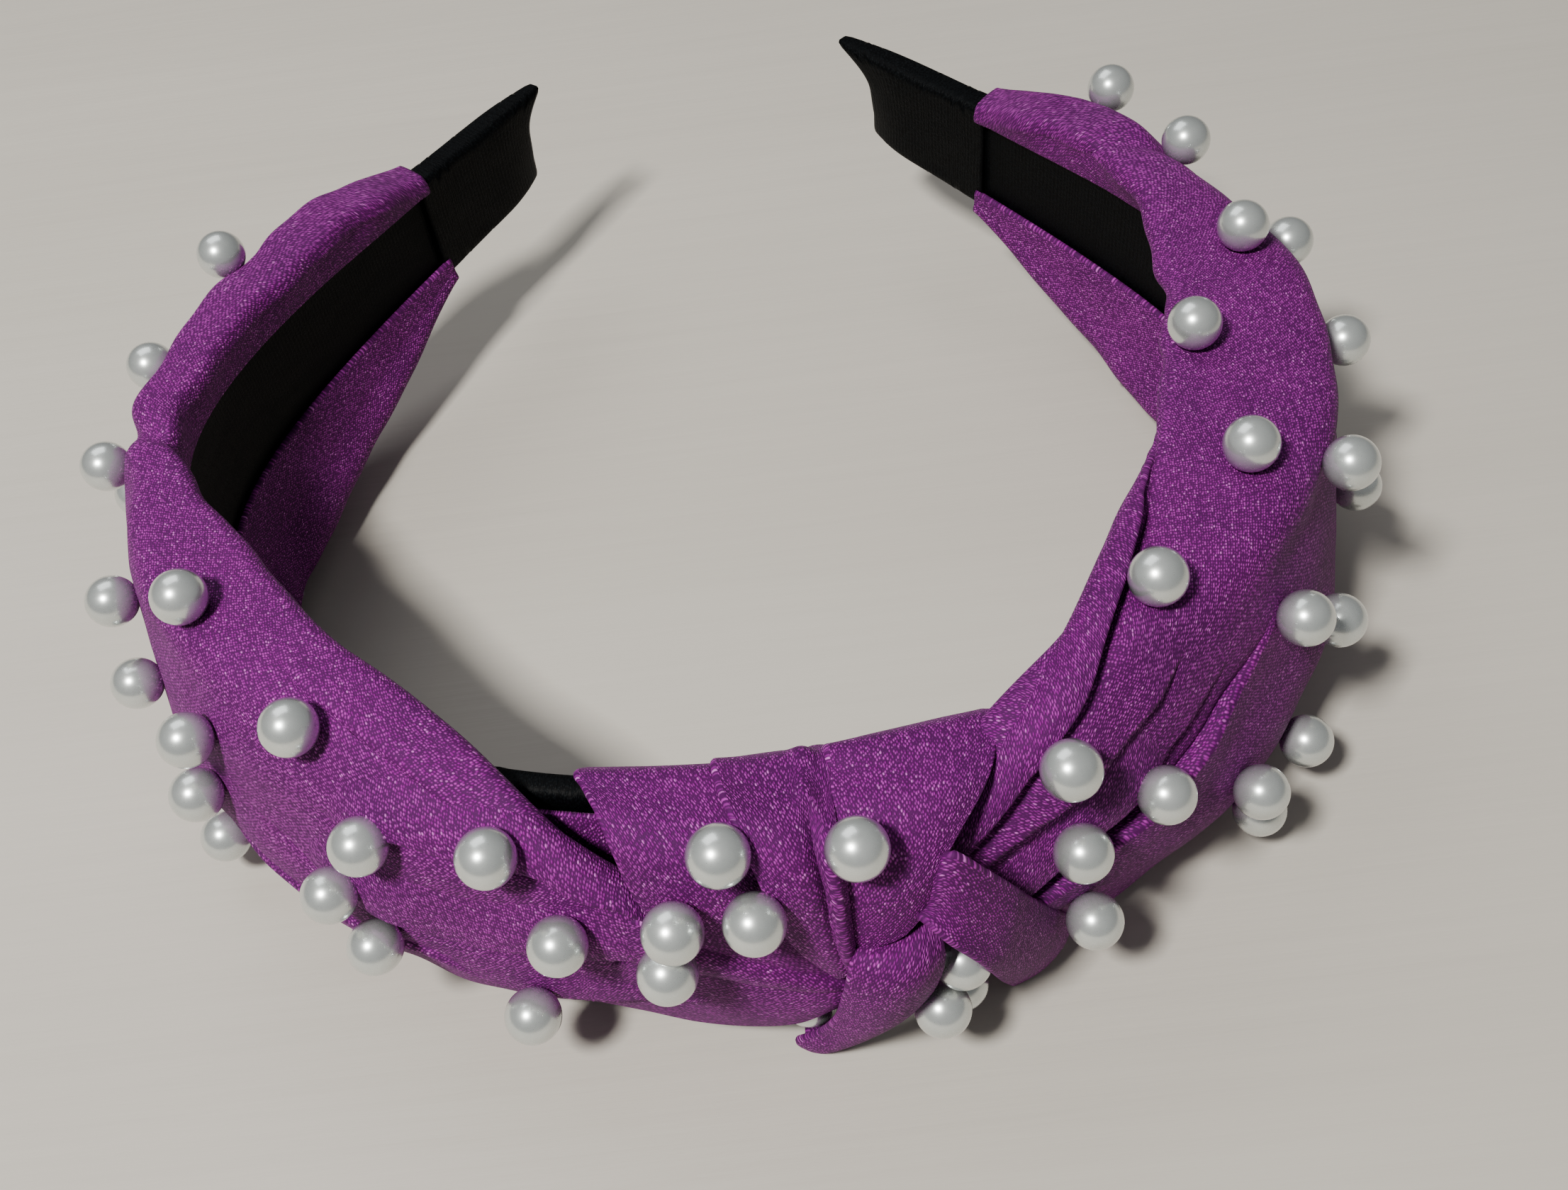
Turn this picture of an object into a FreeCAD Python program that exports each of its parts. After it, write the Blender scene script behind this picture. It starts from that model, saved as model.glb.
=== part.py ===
"""Knotted headband with scattered pearls, lying on its long edge.

Row frame: +X to the wearer's right-hand arm, +Y from the knot towards the open tips, +Z up,
all in millimetres. The hoop is a horseshoe in plan. Places on it are given as
(s, n, z): s is the run along the hoop from the middle of the crown, positive towards +X,
n is the distance out from the hoop's middle surface, away from the head, and z is height.
"""
import FreeCAD
import Part
import math
import os

# ---- driving dimensions -------------------------------------------------------------------
CROWN_CURVE = ((0, -57), (38, -57), (66, -32), (66, -2))
TAIL_CURVE = ((66, -2), (66, 18), (43, 41), (25, 64))
BAND_HEIGHT = 25.0                # middle of the hoop above the floor
BAND_WIDTH = ((0, 24.0), (60, 22.0), (130, 17.0), (175, 12.5))
CORE_THICKNESS = 1.6
SATIN_THICKNESS = 0.5
SATIN_GAP = 0.15
TIP_CORNER_RUN = 4.0              # how far each tip's upper corner runs past its lower one

HINGE_S = 31.0                    # run from the crown's middle to each flex line
HINGE_GAP = 0.15
OPEN_ANGLE = 13.0                 # wedge left free outside the flex line, degrees
CLOSE_ANGLE = 5.5                 # wedge left free inside the flex line, degrees

FABRIC = 1.0                      # crepe with its backing
FABRIC_END_S = 152.0
CAP_START_S = 153.0
HEM_CLEARANCE = 0.12

PEARL_R = 3.0
PEARL_LIFT = 0.05
PIN_R = 0.45
PIN_CLEARANCE = 0.05
RIVET_BACK_R = 1.1
RIVET_BACK_THICKNESS = 0.4

ORIGIN = FreeCAD.Vector(0.708, 3.502, -0.324)   # centres the row on its box, standing on z = 0

# Pearls on the wings: run from the crown's middle, then share of the section from the lower
# hem to the upper hem.
LEFT_PEARLS = (
    (124, 0.60), (110, 0.51), (97, 0.50), (101, 0.40), (81, 0.47), (76, 0.40), (66, 0.61),
    (59, 0.49), (60, 0.40), (64, 0.29), (45, 0.58), (36, 0.50), (41, 0.42), (37.5, 0.36),
)
RIGHT_PEARLS = (
    (137, 0.58), (123, 0.58), (105, 0.62), (108, 0.50), (86, 0.68), (94, 0.49), (66, 0.62),
    (72, 0.56), (85, 0.36), (57, 0.47), (64, 0.40), (58, 0.31), (44, 0.62), (47.5, 0.35),
    (50, 0.29), (36, 0.44),
)
STUD_R = 0.9
INNER_STUD = {"left": (100, 0.11), "right": (122, 0.12)}   # stud heads on the inner lower hem
# Pearls on the knot and the wing roots beside it: s, n and z of the centre, and how far the
# stem leans up from level, in degrees.
KNOT_PEARLS = (
    (-23.2, 10.5, 39.6, 35), (-18, 13.6, 29.8, 8), (-22.8, 13.9, 13.6, -5),
    (26.5, 10.4, 40.5, 45), (27, 13.1, 27.8, 10), (27.8, 13.7, 15.6, -2),
    (-7.8, 14.9, 35.2, 25), (-8.9, 15.6, 28.6, 0), (-2.8, 11.3, 43.5, 45), (-0.9, 14.8, 37, 25),
    (7.6, 12.6, 43, 45), (15.5, 14.5, 18.6, -5), (12.6, 16, 13, 0), (15.7, 12.5, 8.3, -20),
    (1.5, 10.6, 8.4, -10),
)

# Wing sections: s, then how far out the foot, belly and shoulder stand, the crest's n and
# height, how far in the rolled hem leans, and the height of the lower edge.
LEFT_WING = (
    (26, 8.5, 10.0, 8.0, 2.0, 42.0, -2.4, 1.0),
    (40, 8.5, 10.5, 7.0, -3.5, 42.0, -6.0, 0.6),
    (60, 7.0, 9.0, 5.0, -6.0, 41.0, -8.5, 0.6),
    (80, 6.0, 7.5, 4.5, -5.0, 40.0, -7.5, 0.6),
    (95, 6.0, 7.5, 5.0, -1.5, 39.5, -4.5, 0.8),
    (110, 6.0, 7.0, 5.5, 0.5, 39.0, -3.6, 1.5),
    (130, 4.5, 5.5, 4.5, 0.5, 37.5, -3.2, 5.0),
    (143, 3.2, 3.8, 3.4, 0.5, 35.8, -2.8, 11.0),
    (152, 2.6, 2.8, 2.6, 0.4, 34.4, -2.4, 15.8),
)
RIGHT_WING = (
    (26, 8.5, 10.0, 8.0, 1.5, 42.0, -2.4, 1.0),
    (40, 8.5, 10.5, 6.0, -4.5, 42.0, -7.0, 0.6),
    (58, 7.5, 9.5, 3.6, -9.0, 41.0, -11.5, 0.6),
    (76, 5.5, 6.5, 3.2, -10.0, 40.0, -13.0, 0.6),
    (90, 5.0, 6.0, 3.2, -10.0, 39.5, -12.5, 0.8),
    (105, 5.0, 6.0, 3.8, -7.0, 39.0, -10.0, 1.2),
    (120, 5.0, 6.5, 4.5, -2.5, 38.5, -5.5, 2.0),
    (134, 4.2, 5.0, 4.2, 0.0, 37.0, -3.4, 6.0),
    (144, 3.2, 3.8, 3.4, 0.5, 35.6, -2.8, 11.0),
    (152, 2.6, 2.8, 2.6, 0.4, 34.4, -2.4, 15.8),
)


# ---- the hoop's plan curve -----------------------------------------------------------------
def bezier(points, t):
    """Point of a cubic Bezier in plan."""
    u = 1.0 - t
    weights = (u ** 3, 3 * u * u * t, 3 * u * t * t, t ** 3)
    return tuple(sum(w * p[k] for w, p in zip(weights, points)) for k in (0, 1))


def sample_plan(count=400):
    """Half of the hoop as (run, x, y) from the crown's middle to a tip."""
    plan = [bezier(CROWN_CURVE, i / count) for i in range(count)]
    plan += [bezier(TAIL_CURVE, i / count) for i in range(count + 1)]
    run = 0.0
    table = [(0.0,) + plan[0]]
    for a, b in zip(plan, plan[1:]):
        run += math.dist(a, b)
        table.append((run,) + b)
    return table


PLAN = sample_plan()
TIP_S = PLAN[-1][0]


def interpolate(table, x, column=1):
    """Straight-line interpolation down one column of a table, held at its ends."""
    if x <= table[0][0]:
        return table[0][column]
    for a, b in zip(table, table[1:]):
        if x <= b[0]:
            share = (x - a[0]) / (b[0] - a[0])
            return a[column] + share * (b[column] - a[column])
    return table[-1][column]


def frame_at(s):
    """Point on the hoop's middle surface at floor level, with the outward and onward directions."""
    run = min(abs(s), TIP_S)
    side = -1.0 if s < 0 else 1.0
    ahead, behind = min(run + 0.5, TIP_S), max(run - 0.5, 0.0)
    along = FreeCAD.Vector(
        interpolate(PLAN, ahead, 1) - interpolate(PLAN, behind, 1),
        interpolate(PLAN, ahead, 2) - interpolate(PLAN, behind, 2), 0).normalize()
    out = FreeCAD.Vector(side * along.y, -along.x, 0)
    along.x *= side
    spot = FreeCAD.Vector(side * interpolate(PLAN, run, 1), interpolate(PLAN, run, 2), 0)
    return spot + along * (abs(s) - run) + ORIGIN, out, along


def place(s, n, z, onward=0.0):
    """Row-frame point of (s, n, z), moved onward towards the tip in a straight line."""
    spot, out, along = frame_at(s)
    return spot + out * n + along * onward + FreeCAD.Vector(0, 0, z)


def band_width(s):
    return interpolate(BAND_WIDTH, abs(s))


# ---- solid builders ------------------------------------------------------------------------
def loft(rings):
    """Closed solid through rings of points, straight between neighbouring rings."""
    wires = [Part.makePolygon(list(ring) + [ring[0]]) for ring in rings]
    solid = Part.makeLoft(wires, True, True)
    if solid.Volume < 0:
        solid.reverse()
    return solid


def facet_solid(rings):
    """Closed solid through rings of points, made of flat triangles so that any ring may be skewed."""
    triangles = []
    for near, far in zip(rings, rings[1:]):
        count = len(near)
        for i in range(count):
            j = (i + 1) % count
            triangles.append((near[i], near[j], far[j]))
            triangles.append((near[i], far[j], far[i]))
    for ring in (rings[0][::-1], rings[-1]):
        triangles += [(ring[0], a, b) for a, b in zip(ring[1:], ring[2:])]
    faces = [Part.Face(Part.makePolygon([a, b, c, a])) for a, b, c in triangles]
    solid = Part.makeSolid(Part.makeShell(faces))
    if solid.Volume < 0:
        solid.reverse()
    return solid


def hinge_setback(n):
    """How far back an arm's end face stands at n, so that it clears the crown as the arm swings."""
    angle = OPEN_ANGLE if n > 0 else CLOSE_ANGLE
    return HINGE_GAP + abs(n) * math.tan(math.radians(angle))


def stations(start, end, pitch):
    count = max(1, round((end - start) / pitch))
    return [start + (end - start) * i / count for i in range(count + 1)]


def box_section(side, s, half_n, half_z, at_hinge=False, slant=0.0):
    """Rectangular ring across the band."""
    corners = ((-half_n, -half_z), (half_n, -half_z), (half_n, half_z), (-half_n, half_z))
    ring = []
    for n, dz in corners:
        onward = (hinge_setback(n) if at_hinge else 0.0) + (slant if dz > 0 else 0.0)
        ring.append(place(side * s, n, BAND_HEIGHT + dz, onward))
    return ring


def band_run(side, start, end, half_n, inset, slant=0.0):
    """One stretch of the band on an arm, from the flex line to the tip."""
    rings = []
    for index, s in enumerate(stations(start, end, 6.0)):
        half_z = band_width(s) / 2 - inset
        last = s == end
        rings.append(box_section(side, s, half_n, half_z, index == 0, slant if last else 0.0))
    return loft(rings)


def crown_run(half_n, inset):
    """The stretch of band between the two flex lines."""
    rings = []
    for s in stations(-HINGE_S, HINGE_S, 5.2):
        half_z = band_width(s) / 2 - inset
        corners = ((-half_n, -half_z), (half_n, -half_z), (half_n, half_z), (-half_n, half_z))
        rings.append([place(s, n, BAND_HEIGHT + dz) for n, dz in corners])
    return loft(rings)


CORE_HALF = CORE_THICKNESS / 2
SLEEVE_INNER = CORE_HALF + SATIN_GAP
SLEEVE_OUTER = SLEEVE_INNER + SATIN_THICKNESS


def hoop_arm(side):
    return band_run(side, HINGE_S, TIP_S - 2.0, CORE_HALF, SATIN_THICKNESS + SATIN_GAP)


def satin_arm(side):
    outer = band_run(side, HINGE_S, TIP_S, SLEEVE_OUTER, 0.0, TIP_CORNER_RUN)
    inner = band_run(side, HINGE_S - 1.0, TIP_S - 1.8, SLEEVE_INNER, SATIN_THICKNESS)
    return outer.cut(inner)


def hoop_crown():
    return crown_run(CORE_HALF, SATIN_THICKNESS + SATIN_GAP)


def satin_crown():
    return crown_run(SLEEVE_OUTER, 0.0).cut(crown_run(SLEEVE_INNER, SATIN_THICKNESS))


# ---- wings: one sheet per arm, rolled round both edges of the band -------------------------
def wing_row(table, s):
    """Section values at a run s, between two table rows."""
    return tuple(interpolate(table, s, column) for column in range(1, len(table[0])))


def section_outline(table, s):
    """Middle line of the sheet at s, from its lower hem round the outside to its upper hem."""
    foot, belly, shoulder, crest_n, crest_z, roll, low = wing_row(table, s)
    edge = SLEEVE_OUTER + HEM_CLEARANCE + FABRIC / 2
    half = band_width(s) / 2
    hem_low = BAND_HEIGHT - half + 1.5
    hem_high = BAND_HEIGHT + half - 4.0
    rise = crest_z - low
    corner_n = max(0.5 * (shoulder + crest_n), edge - 0.2)
    corner_z = 0.5 * (BAND_HEIGHT + half + crest_z)
    roll_z = crest_z - 0.17 * rise
    return (
        (-edge, hem_low),
        (-edge, low + 0.45 * (hem_low - low)),
        (0.35 * foot - 0.4, low + FABRIC / 2),
        (0.88 * foot, low + FABRIC / 2 + 0.05 * rise),
        (belly, low + 0.33 * rise),
        (0.5 * (belly + shoulder) + 0.4, low + 0.57 * rise),
        (shoulder, low + 0.8 * rise),
        (corner_n, corner_z),
        (crest_n, crest_z - FABRIC / 2),
        (min(0.2 * crest_n + 0.8 * roll, -edge), crest_z - 0.08 * rise),
        (roll, roll_z),
        (0.35 * roll - 0.65 * edge, 0.5 * (roll_z + hem_high) - 0.5),
        (-edge, hem_high - 1.5),
    )


def smooth(points, per_span=3):
    """Catmull-Rom curve through plan points, ends included."""
    padded = [points[0]] + list(points) + [points[-1]]
    curve = []
    for a, b, c, d in zip(padded, padded[1:], padded[2:], padded[3:]):
        for i in range(per_span):
            t = i / per_span
            curve.append(tuple(
                0.5 * (2 * q + (r - p) * t + (2 * p - 5 * q + 4 * r - w) * t * t
                       + (3 * q - p - 3 * r + w) * t ** 3)
                for p, q, r, w in zip(a, b, c, d)))
    curve.append(tuple(points[-1]))
    return curve


def normals(curve):
    """Unit normal at each point, to the left of the run."""
    result = []
    for i in range(len(curve)):
        a, b = curve[max(i - 1, 0)], curve[min(i + 1, len(curve) - 1)]
        dx, dy = b[0] - a[0], b[1] - a[1]
        length = math.hypot(dx, dy)
        result.append((-dy / length, dx / length))
    return result


def sheet_ring(table, side, s, at_hinge):
    """Closed ring of the sheet's section, one skin out and the other back."""
    line = smooth(section_outline(table, s))
    offsets = normals(line)
    skins = []
    for sign in (-0.5, 0.5):
        skins.append([(p[0] + sign * FABRIC * q[0], p[1] + sign * FABRIC * q[1])
                      for p, q in zip(line, offsets)])
    ring = []
    for n, z in skins[0] + skins[1][::-1]:
        onward = HINGE_GAP + n * math.tan(math.radians(OPEN_ANGLE)) if at_hinge else 0.0
        ring.append(place(side * s, n, z, onward))
    return ring


def wing(table, side):
    rings = [sheet_ring(table, side, s, index == 0)
             for index, s in enumerate(stations(HINGE_S, FABRIC_END_S, 7.0))]
    return loft(rings)


def on_wing(table, side, s, share, lift):
    """Point over the wing's outer skin and the direction out of it.

    share runs along the section from the lower hem (0) to the upper hem (1).
    """
    line = smooth(section_outline(table, s), 6)
    index = min(max(1, round(share * (len(line) - 1))), len(line) - 2)
    n, z = line[index]
    out_n, out_z = normals(line)[index]
    # The line runs up the outside, so outwards is to its right.
    reach = lift + FABRIC / 2
    centre = place(side * s, n - out_n * reach, z - out_z * reach)
    foot = place(side * s, n, z)
    return foot, (centre - foot).normalize()


# ---- tip caps ------------------------------------------------------------------------------
def tip_cap(side):
    """Black satin wrapped round the last of the arm, over the fabric's end."""
    half_n = SLEEVE_OUTER + 0.1
    outer = []
    inner = []
    for s in stations(CAP_START_S, TIP_S - 1.0, 5.0):
        half_z = band_width(s) / 2
        outer.append(box_section(side, s, half_n + 0.6, half_z + 0.7))
        inner.append(box_section(side, s, half_n, half_z + 0.1))
    return loft(outer).cut(loft(inner))


# ---- wing roots: the sheet's run in front of the crown, drawn together into the knot ----------
ROOT = (
    (8, 9.0, 10.6, 10.6, 9.0, 31.0, 0, 8.0),
    (16, 9.0, 10.6, 10.0, 7.0, 36.0, 0, 4.0),
    (24, 8.7, 10.3, 8.8, 4.0, 40.5, 0, 1.5),
    (31, 8.5, 10.1, 7.7, 2.6, 42.0, 0, 0.8),
)
ROOT_START_S = 8.0


def root_outline(s):
    """Middle line of a root's section: it stands in front of the band and leaves its back bare."""
    foot, belly, shoulder, crest_n, crest_z, _, low = wing_row(ROOT, s)
    edge = SLEEVE_OUTER + HEM_CLEARANCE + FABRIC / 2
    rise = crest_z - low
    return (
        (edge, low + 6.0),
        (0.5 * foot, low + FABRIC / 2 + 0.3),
        (0.9 * foot, low + FABRIC / 2 + 0.07 * rise),
        (belly, low + 0.33 * rise),
        (0.5 * (belly + shoulder) + 0.4, low + 0.57 * rise),
        (shoulder, low + 0.8 * rise),
        (0.5 * (shoulder + crest_n) + 0.6, low + 0.94 * rise),
        (max(crest_n, edge), crest_z - FABRIC / 2),
        (edge, crest_z - 3.5),
    )


def wing_root(side):
    rings = []
    for s in stations(ROOT_START_S, HINGE_S, 5.0):
        line = smooth(root_outline(s))
        offsets = normals(line)
        inner = [(p[0] - 0.5 * FABRIC * q[0], p[1] - 0.5 * FABRIC * q[1]) for p, q in zip(line, offsets)]
        outer = [(p[0] + 0.5 * FABRIC * q[0], p[1] + 0.5 * FABRIC * q[1]) for p, q in zip(line, offsets)]
        rings.append([place(side * s, n, z) for n, z in inner + outer[::-1]])
    return loft(rings)


# ---- the knot's straps: each a folded length of the sheet ---------------------------------------
# Each row is one place along a strap: the (s, n, z) of its left edge, then of its right edge.
STRAPS = {
    "knot_left_strap": (
        ((-14, 2.8, 42), (-3, 2.8, 42.4)),
        ((-12.5, 8.5, 41), (-1.5, 8.5, 41.4)),
        ((-10, 11.8, 33), (0.5, 12.2, 34)),
        ((-6.2, 12.4, 26.6), (3.8, 13.2, 25.4)),
        ((3.2, 13.2, 20), (6, 14, 19.4)),
    ),
    "knot_middle_strap": (
        ((-2.6, 2.8, 44), (6.7, 2.8, 44.5)),
        ((-1.1, 8.8, 43), (6.9, 9, 43.5)),
        ((0.9, 13, 34), (6.8, 13.2, 34)),
        ((3.9, 14.5, 27), (6.6, 14.5, 25.5)),
    ),
    "knot_right_strap": (
        ((7.1, 2.8, 45), (21, 2.8, 41.5)),
        ((7.3, 9.2, 44), (19.2, 8.8, 40)),
        ((7.2, 13.2, 36), (15.2, 11.8, 35)),
        ((6.6, 14.4, 29), (10.4, 14, 29)),
    ),
    "knot_loop": (
        ((6.2, 14.8, 26), (12.4, 13.8, 27)),
        ((5, 16.6, 20), (13, 14.8, 21)),
        ((3.6, 16.2, 11), (11.6, 14.4, 12)),
        ((3, 14.2, 4.5), (9, 12.8, 4.2)),
        ((3.4, 8.4, 1.6), (8, 8, 1.6)),
    ),
    "knot_cross_strap": (
        ((13.6, 14.4, 28), (16.6, 13, 34)),
        ((15.8, 17, 24), (20, 13.9, 29)),
        ((18, 17, 18), (23.6, 13, 19.5)),
        ((20.4, 13.2, 8), (27.4, 12, 10)),
    ),
    "knot_upper_strand": (
        ((-27, 11.8, 24), (-27, 11.8, 16)),
        ((-18.5, 12.1, 25.4), (-18.5, 12.2, 18.2)),
        ((-10, 12.2, 26.4), (-10, 12.4, 20.4)),
        ((-3.8, 12.9, 22.8), (-4, 13, 17.8)),
        ((3, 13.6, 18.2), (2.6, 13.6, 14.8)),
    ),
    "knot_lower_strand": (
        ((-27, 11.6, 13.4), (-27, 10.2, 3)),
        ((-10, 13, 18.4), (-10, 11.4, 5)),
        ((3, 14.2, 13.6), (2.6, 13.6, 9.8)),
    ),
}
STRAP_THICKNESS = 0.8
STRAP_CROWN = 0.9                 # how far a strap's middle stands up between its edges


def strap_ring(left, right):
    """Six-sided section between a strap's edges, its middle raised."""
    middle = tuple(0.5 * (a + b) for a, b in zip(left, right))
    half = STRAP_THICKNESS / 2
    points = []
    for spot, lift in ((left, -half), (middle, STRAP_CROWN - half), (right, -half),
                       (right, half), (middle, STRAP_CROWN + half), (left, half)):
        s, n, z = spot
        steep = min(1.0, max(0.0, (n - 2.8) / 8.0)) if z > 35 else 1.0
        up = lift * (1.0 - steep)
        points.append(place(s, n + lift * steep, z + up))
    return points


def strap(rows):
    return facet_solid([strap_ring(left, right) for left, right in rows])


# ---- pearls and their rivets ----------------------------------------------------------------
def rod(centre, out, start, end, radius):
    """Cylinder along out, between two distances from a centre."""
    return Part.makeCylinder(radius, end - start, centre + out * start, out)


BACK_DEPTH = PEARL_R + PEARL_LIFT + FABRIC + 0.05    # from a pearl's centre to its rivet's back
BORE_TOP = 0.9


def pearl(centre, out):
    ball = Part.makeSphere(PEARL_R, centre, out)
    return ball.cut(rod(centre, out, -PEARL_R - 1.0, BORE_TOP, PIN_R + PIN_CLEARANCE))


def rivet(centre, out):
    """Pin up into the pearl's bore, with a flat back under the sheet."""
    pin = rod(centre, out, -BACK_DEPTH - 0.2, BORE_TOP - 0.1, PIN_R)
    back = rod(centre, out, -BACK_DEPTH - RIVET_BACK_THICKNESS, -BACK_DEPTH, RIVET_BACK_R)
    return pin.fuse(back).removeSplitter()


def rivet_room(centre, out):
    """Space that a rivet needs in the sheets it passes through."""
    hole = rod(centre, out, -BACK_DEPTH - 0.1, 0.0, PIN_R + PIN_CLEARANCE)
    seat = rod(centre, out, -BACK_DEPTH - RIVET_BACK_THICKNESS - 0.1, -BACK_DEPTH + 0.04, RIVET_BACK_R + 0.1)
    return hole.fuse(seat)


def wing_spots(table, side, pearls):
    """Centre and outward direction of each pearl on a wing."""
    spots = []
    for s, share in pearls:
        foot, out = on_wing(table, side, s, share, 1.0)
        spots.append((foot + out * (FABRIC / 2 + PEARL_LIFT + PEARL_R), out))
    return spots


def knot_spots():
    spots = []
    for s, n, z, lean in KNOT_PEARLS:
        _, out, _ = frame_at(s)
        angle = math.radians(lean)
        spots.append((place(s, n, z), out * math.cos(angle) + FreeCAD.Vector(0, 0, math.sin(angle))))
    return spots


def largest(shape):
    return max(shape.Solids, key=lambda solid: solid.Volume)


def carve(shape, tools):
    """Shape with room made for each tool that reaches its box."""
    near = [tool for tool in tools if tool.BoundBox.intersect(shape.BoundBox)]
    return largest(shape.cut(near)) if near else shape


def stud_foot(table, side, spot):
    """Centre and outward direction of a stud on the inner lower hem."""
    foot, out = on_wing(table, side, *spot, 1.0)
    return foot + out * (FABRIC / 2 + 0.05), out


def inner_stud(centre, out):
    """Domed stud head with its flat side on the sheet."""
    return Part.makeSphere(STUD_R, centre, out).cut(rod(centre, out, -2 * STUD_R, 0.0, STUD_R + 0.1))


def knot_pieces(spots):
    """Straps and roots, each cut clear of the ones laid before it and of the pearls."""
    room = [rivet_room(*spot) for spot in spots]
    room += [Part.makeSphere(PEARL_R + PEARL_LIFT, centre) for centre, _ in spots]
    pieces = {}
    for name, rows in STRAPS.items():
        pieces[name] = carve(strap(rows), room + list(pieces.values()))
    for name, side in (("wing_root_left", -1), ("wing_root_right", 1)):
        pieces[name] = carve(wing_root(side), room + list(pieces.values()))
    return pieces


def build():
    nodes = {
        "hoop_crown": hoop_crown(),
        "satin_crown": satin_crown(),
    }
    knot = knot_spots()
    nodes.update(knot_pieces(knot))
    nodes["pearls_knot"] = Part.makeCompound([pearl(*spot) for spot in knot])
    nodes["rivets_knot"] = Part.makeCompound([rivet(*spot) for spot in knot])
    arms = (("left", -1, LEFT_WING, LEFT_PEARLS), ("right", 1, RIGHT_WING, RIGHT_PEARLS))
    for name, side, table, pearls in arms:
        spots = wing_spots(table, side, pearls)
        nodes["hoop_" + name] = hoop_arm(side)
        nodes["satin_" + name] = satin_arm(side)
        stud, stud_out = stud_foot(table, side, INNER_STUD[name])
        room = [rivet_room(*spot) for spot in spots] + [Part.makeSphere(STUD_R + 0.05, stud)]
        nodes["wing_" + name] = carve(wing(table, side), room)
        nodes["tip_cap_" + name] = tip_cap(side)
        nodes["pearls_" + name] = Part.makeCompound([pearl(*spot) for spot in spots])
        nodes["rivets_" + name] = Part.makeCompound([rivet(*spot) for spot in spots])
        nodes["stud_" + name] = inner_stud(stud, stud_out)
    return nodes


def export(nodes):
    os.makedirs("parts", exist_ok=True)
    box = FreeCAD.BoundBox()
    for name, shape in nodes.items():
        shape.exportStep("parts/" + name + ".step")
        box.add(shape.BoundBox)
        print(name, shape.isValid(), len(shape.Solids), round(shape.Volume, 1))
    print("box", box)
    print("box middle", round(box.Center.x, 3), round(box.Center.y, 3), "bottom", round(box.ZMin, 3))
    for side in (-1, 1):
        print("flex line", side, place(side * HINGE_S, 0, BAND_HEIGHT))


export(build())
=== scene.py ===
"""Knotted headband: satin-covered hoop, crepe wings rolled round it, knotted straps, pearls."""
import math

import bpy
import numpy as np
from mathutils import Matrix, Vector
from mathutils.bvhtree import BVHTree


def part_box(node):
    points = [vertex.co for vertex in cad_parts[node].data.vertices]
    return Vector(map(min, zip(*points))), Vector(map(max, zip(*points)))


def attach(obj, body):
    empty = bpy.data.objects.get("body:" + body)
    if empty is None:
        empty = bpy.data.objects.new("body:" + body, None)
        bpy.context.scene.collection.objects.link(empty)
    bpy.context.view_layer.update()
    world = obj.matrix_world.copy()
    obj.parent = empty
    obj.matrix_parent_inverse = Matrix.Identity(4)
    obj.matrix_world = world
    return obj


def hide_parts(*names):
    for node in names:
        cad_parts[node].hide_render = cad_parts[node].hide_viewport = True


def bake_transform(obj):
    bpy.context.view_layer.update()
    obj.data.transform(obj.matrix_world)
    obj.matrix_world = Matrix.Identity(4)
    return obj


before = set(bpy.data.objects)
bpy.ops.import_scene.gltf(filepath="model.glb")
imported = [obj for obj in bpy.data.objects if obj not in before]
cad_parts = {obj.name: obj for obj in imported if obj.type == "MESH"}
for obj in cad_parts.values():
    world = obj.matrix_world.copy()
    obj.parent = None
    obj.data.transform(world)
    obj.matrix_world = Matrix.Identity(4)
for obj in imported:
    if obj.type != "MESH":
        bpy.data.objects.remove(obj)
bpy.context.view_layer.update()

# ---- the hoop's plan curve, in millimetres ----
MM = 0.001
ORIGIN = np.array((0.708, 3.502, -0.324))      # the same offset as the CAD's
CROWN_CURVE = np.array(((0, -57), (38, -57), (66, -32), (66, -2)), float)
TAIL_CURVE = np.array(((66, -2), (66, 18), (43, 41), (25, 64)), float)
BAND_HEIGHT = 25.0
BAND_WIDTH = ((0, 24.0), (60, 22.0), (130, 17.0), (175, 12.5))
SLEEVE_HALF = 1.45                             # half thickness of the satin-covered hoop
HINGE_S = 31.0


def bezier(points, t):
    """Points of a cubic Bezier at each t."""
    u = 1.0 - t[:, None]
    t = t[:, None]
    return u ** 3 * points[0] + 3 * u * u * t * points[1] + 3 * u * t * t * points[2] + t ** 3 * points[3]


def lengths_along(line):
    """Length so far at each point of a line."""
    return np.concatenate(((0.0,), np.cumsum(np.linalg.norm(np.diff(line, axis=0), axis=1))))


STEPS = np.linspace(0, 1, 401)
PLAN = np.vstack((bezier(CROWN_CURVE, STEPS)[:-1], bezier(TAIL_CURVE, STEPS)))
RUN = lengths_along(PLAN)
TIP_S = RUN[-1]
SLOPE = np.gradient(PLAN, RUN, axis=0)
SLOPE[0] = (1.0, 0.0)


def hoop_frame(s):
    """Plan point on the hoop's middle surface, outward direction and onward direction at each s."""
    s = np.asarray(s, float)
    run = np.minimum(np.abs(s), TIP_S)
    side = np.where(s < 0, -1.0, 1.0)
    along = np.stack([np.interp(run, RUN, SLOPE[:, k]) for k in (0, 1)], -1)
    along /= np.linalg.norm(along, axis=-1, keepdims=True)
    spot = np.stack([np.interp(run, RUN, PLAN[:, k]) for k in (0, 1)], -1)
    spot = spot + along * (np.abs(s) - run)[..., None]
    out = np.stack((along[..., 1], -along[..., 0]), -1)
    for array in (spot, out, along):
        array[..., 0] *= side
    return spot, out, along


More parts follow.
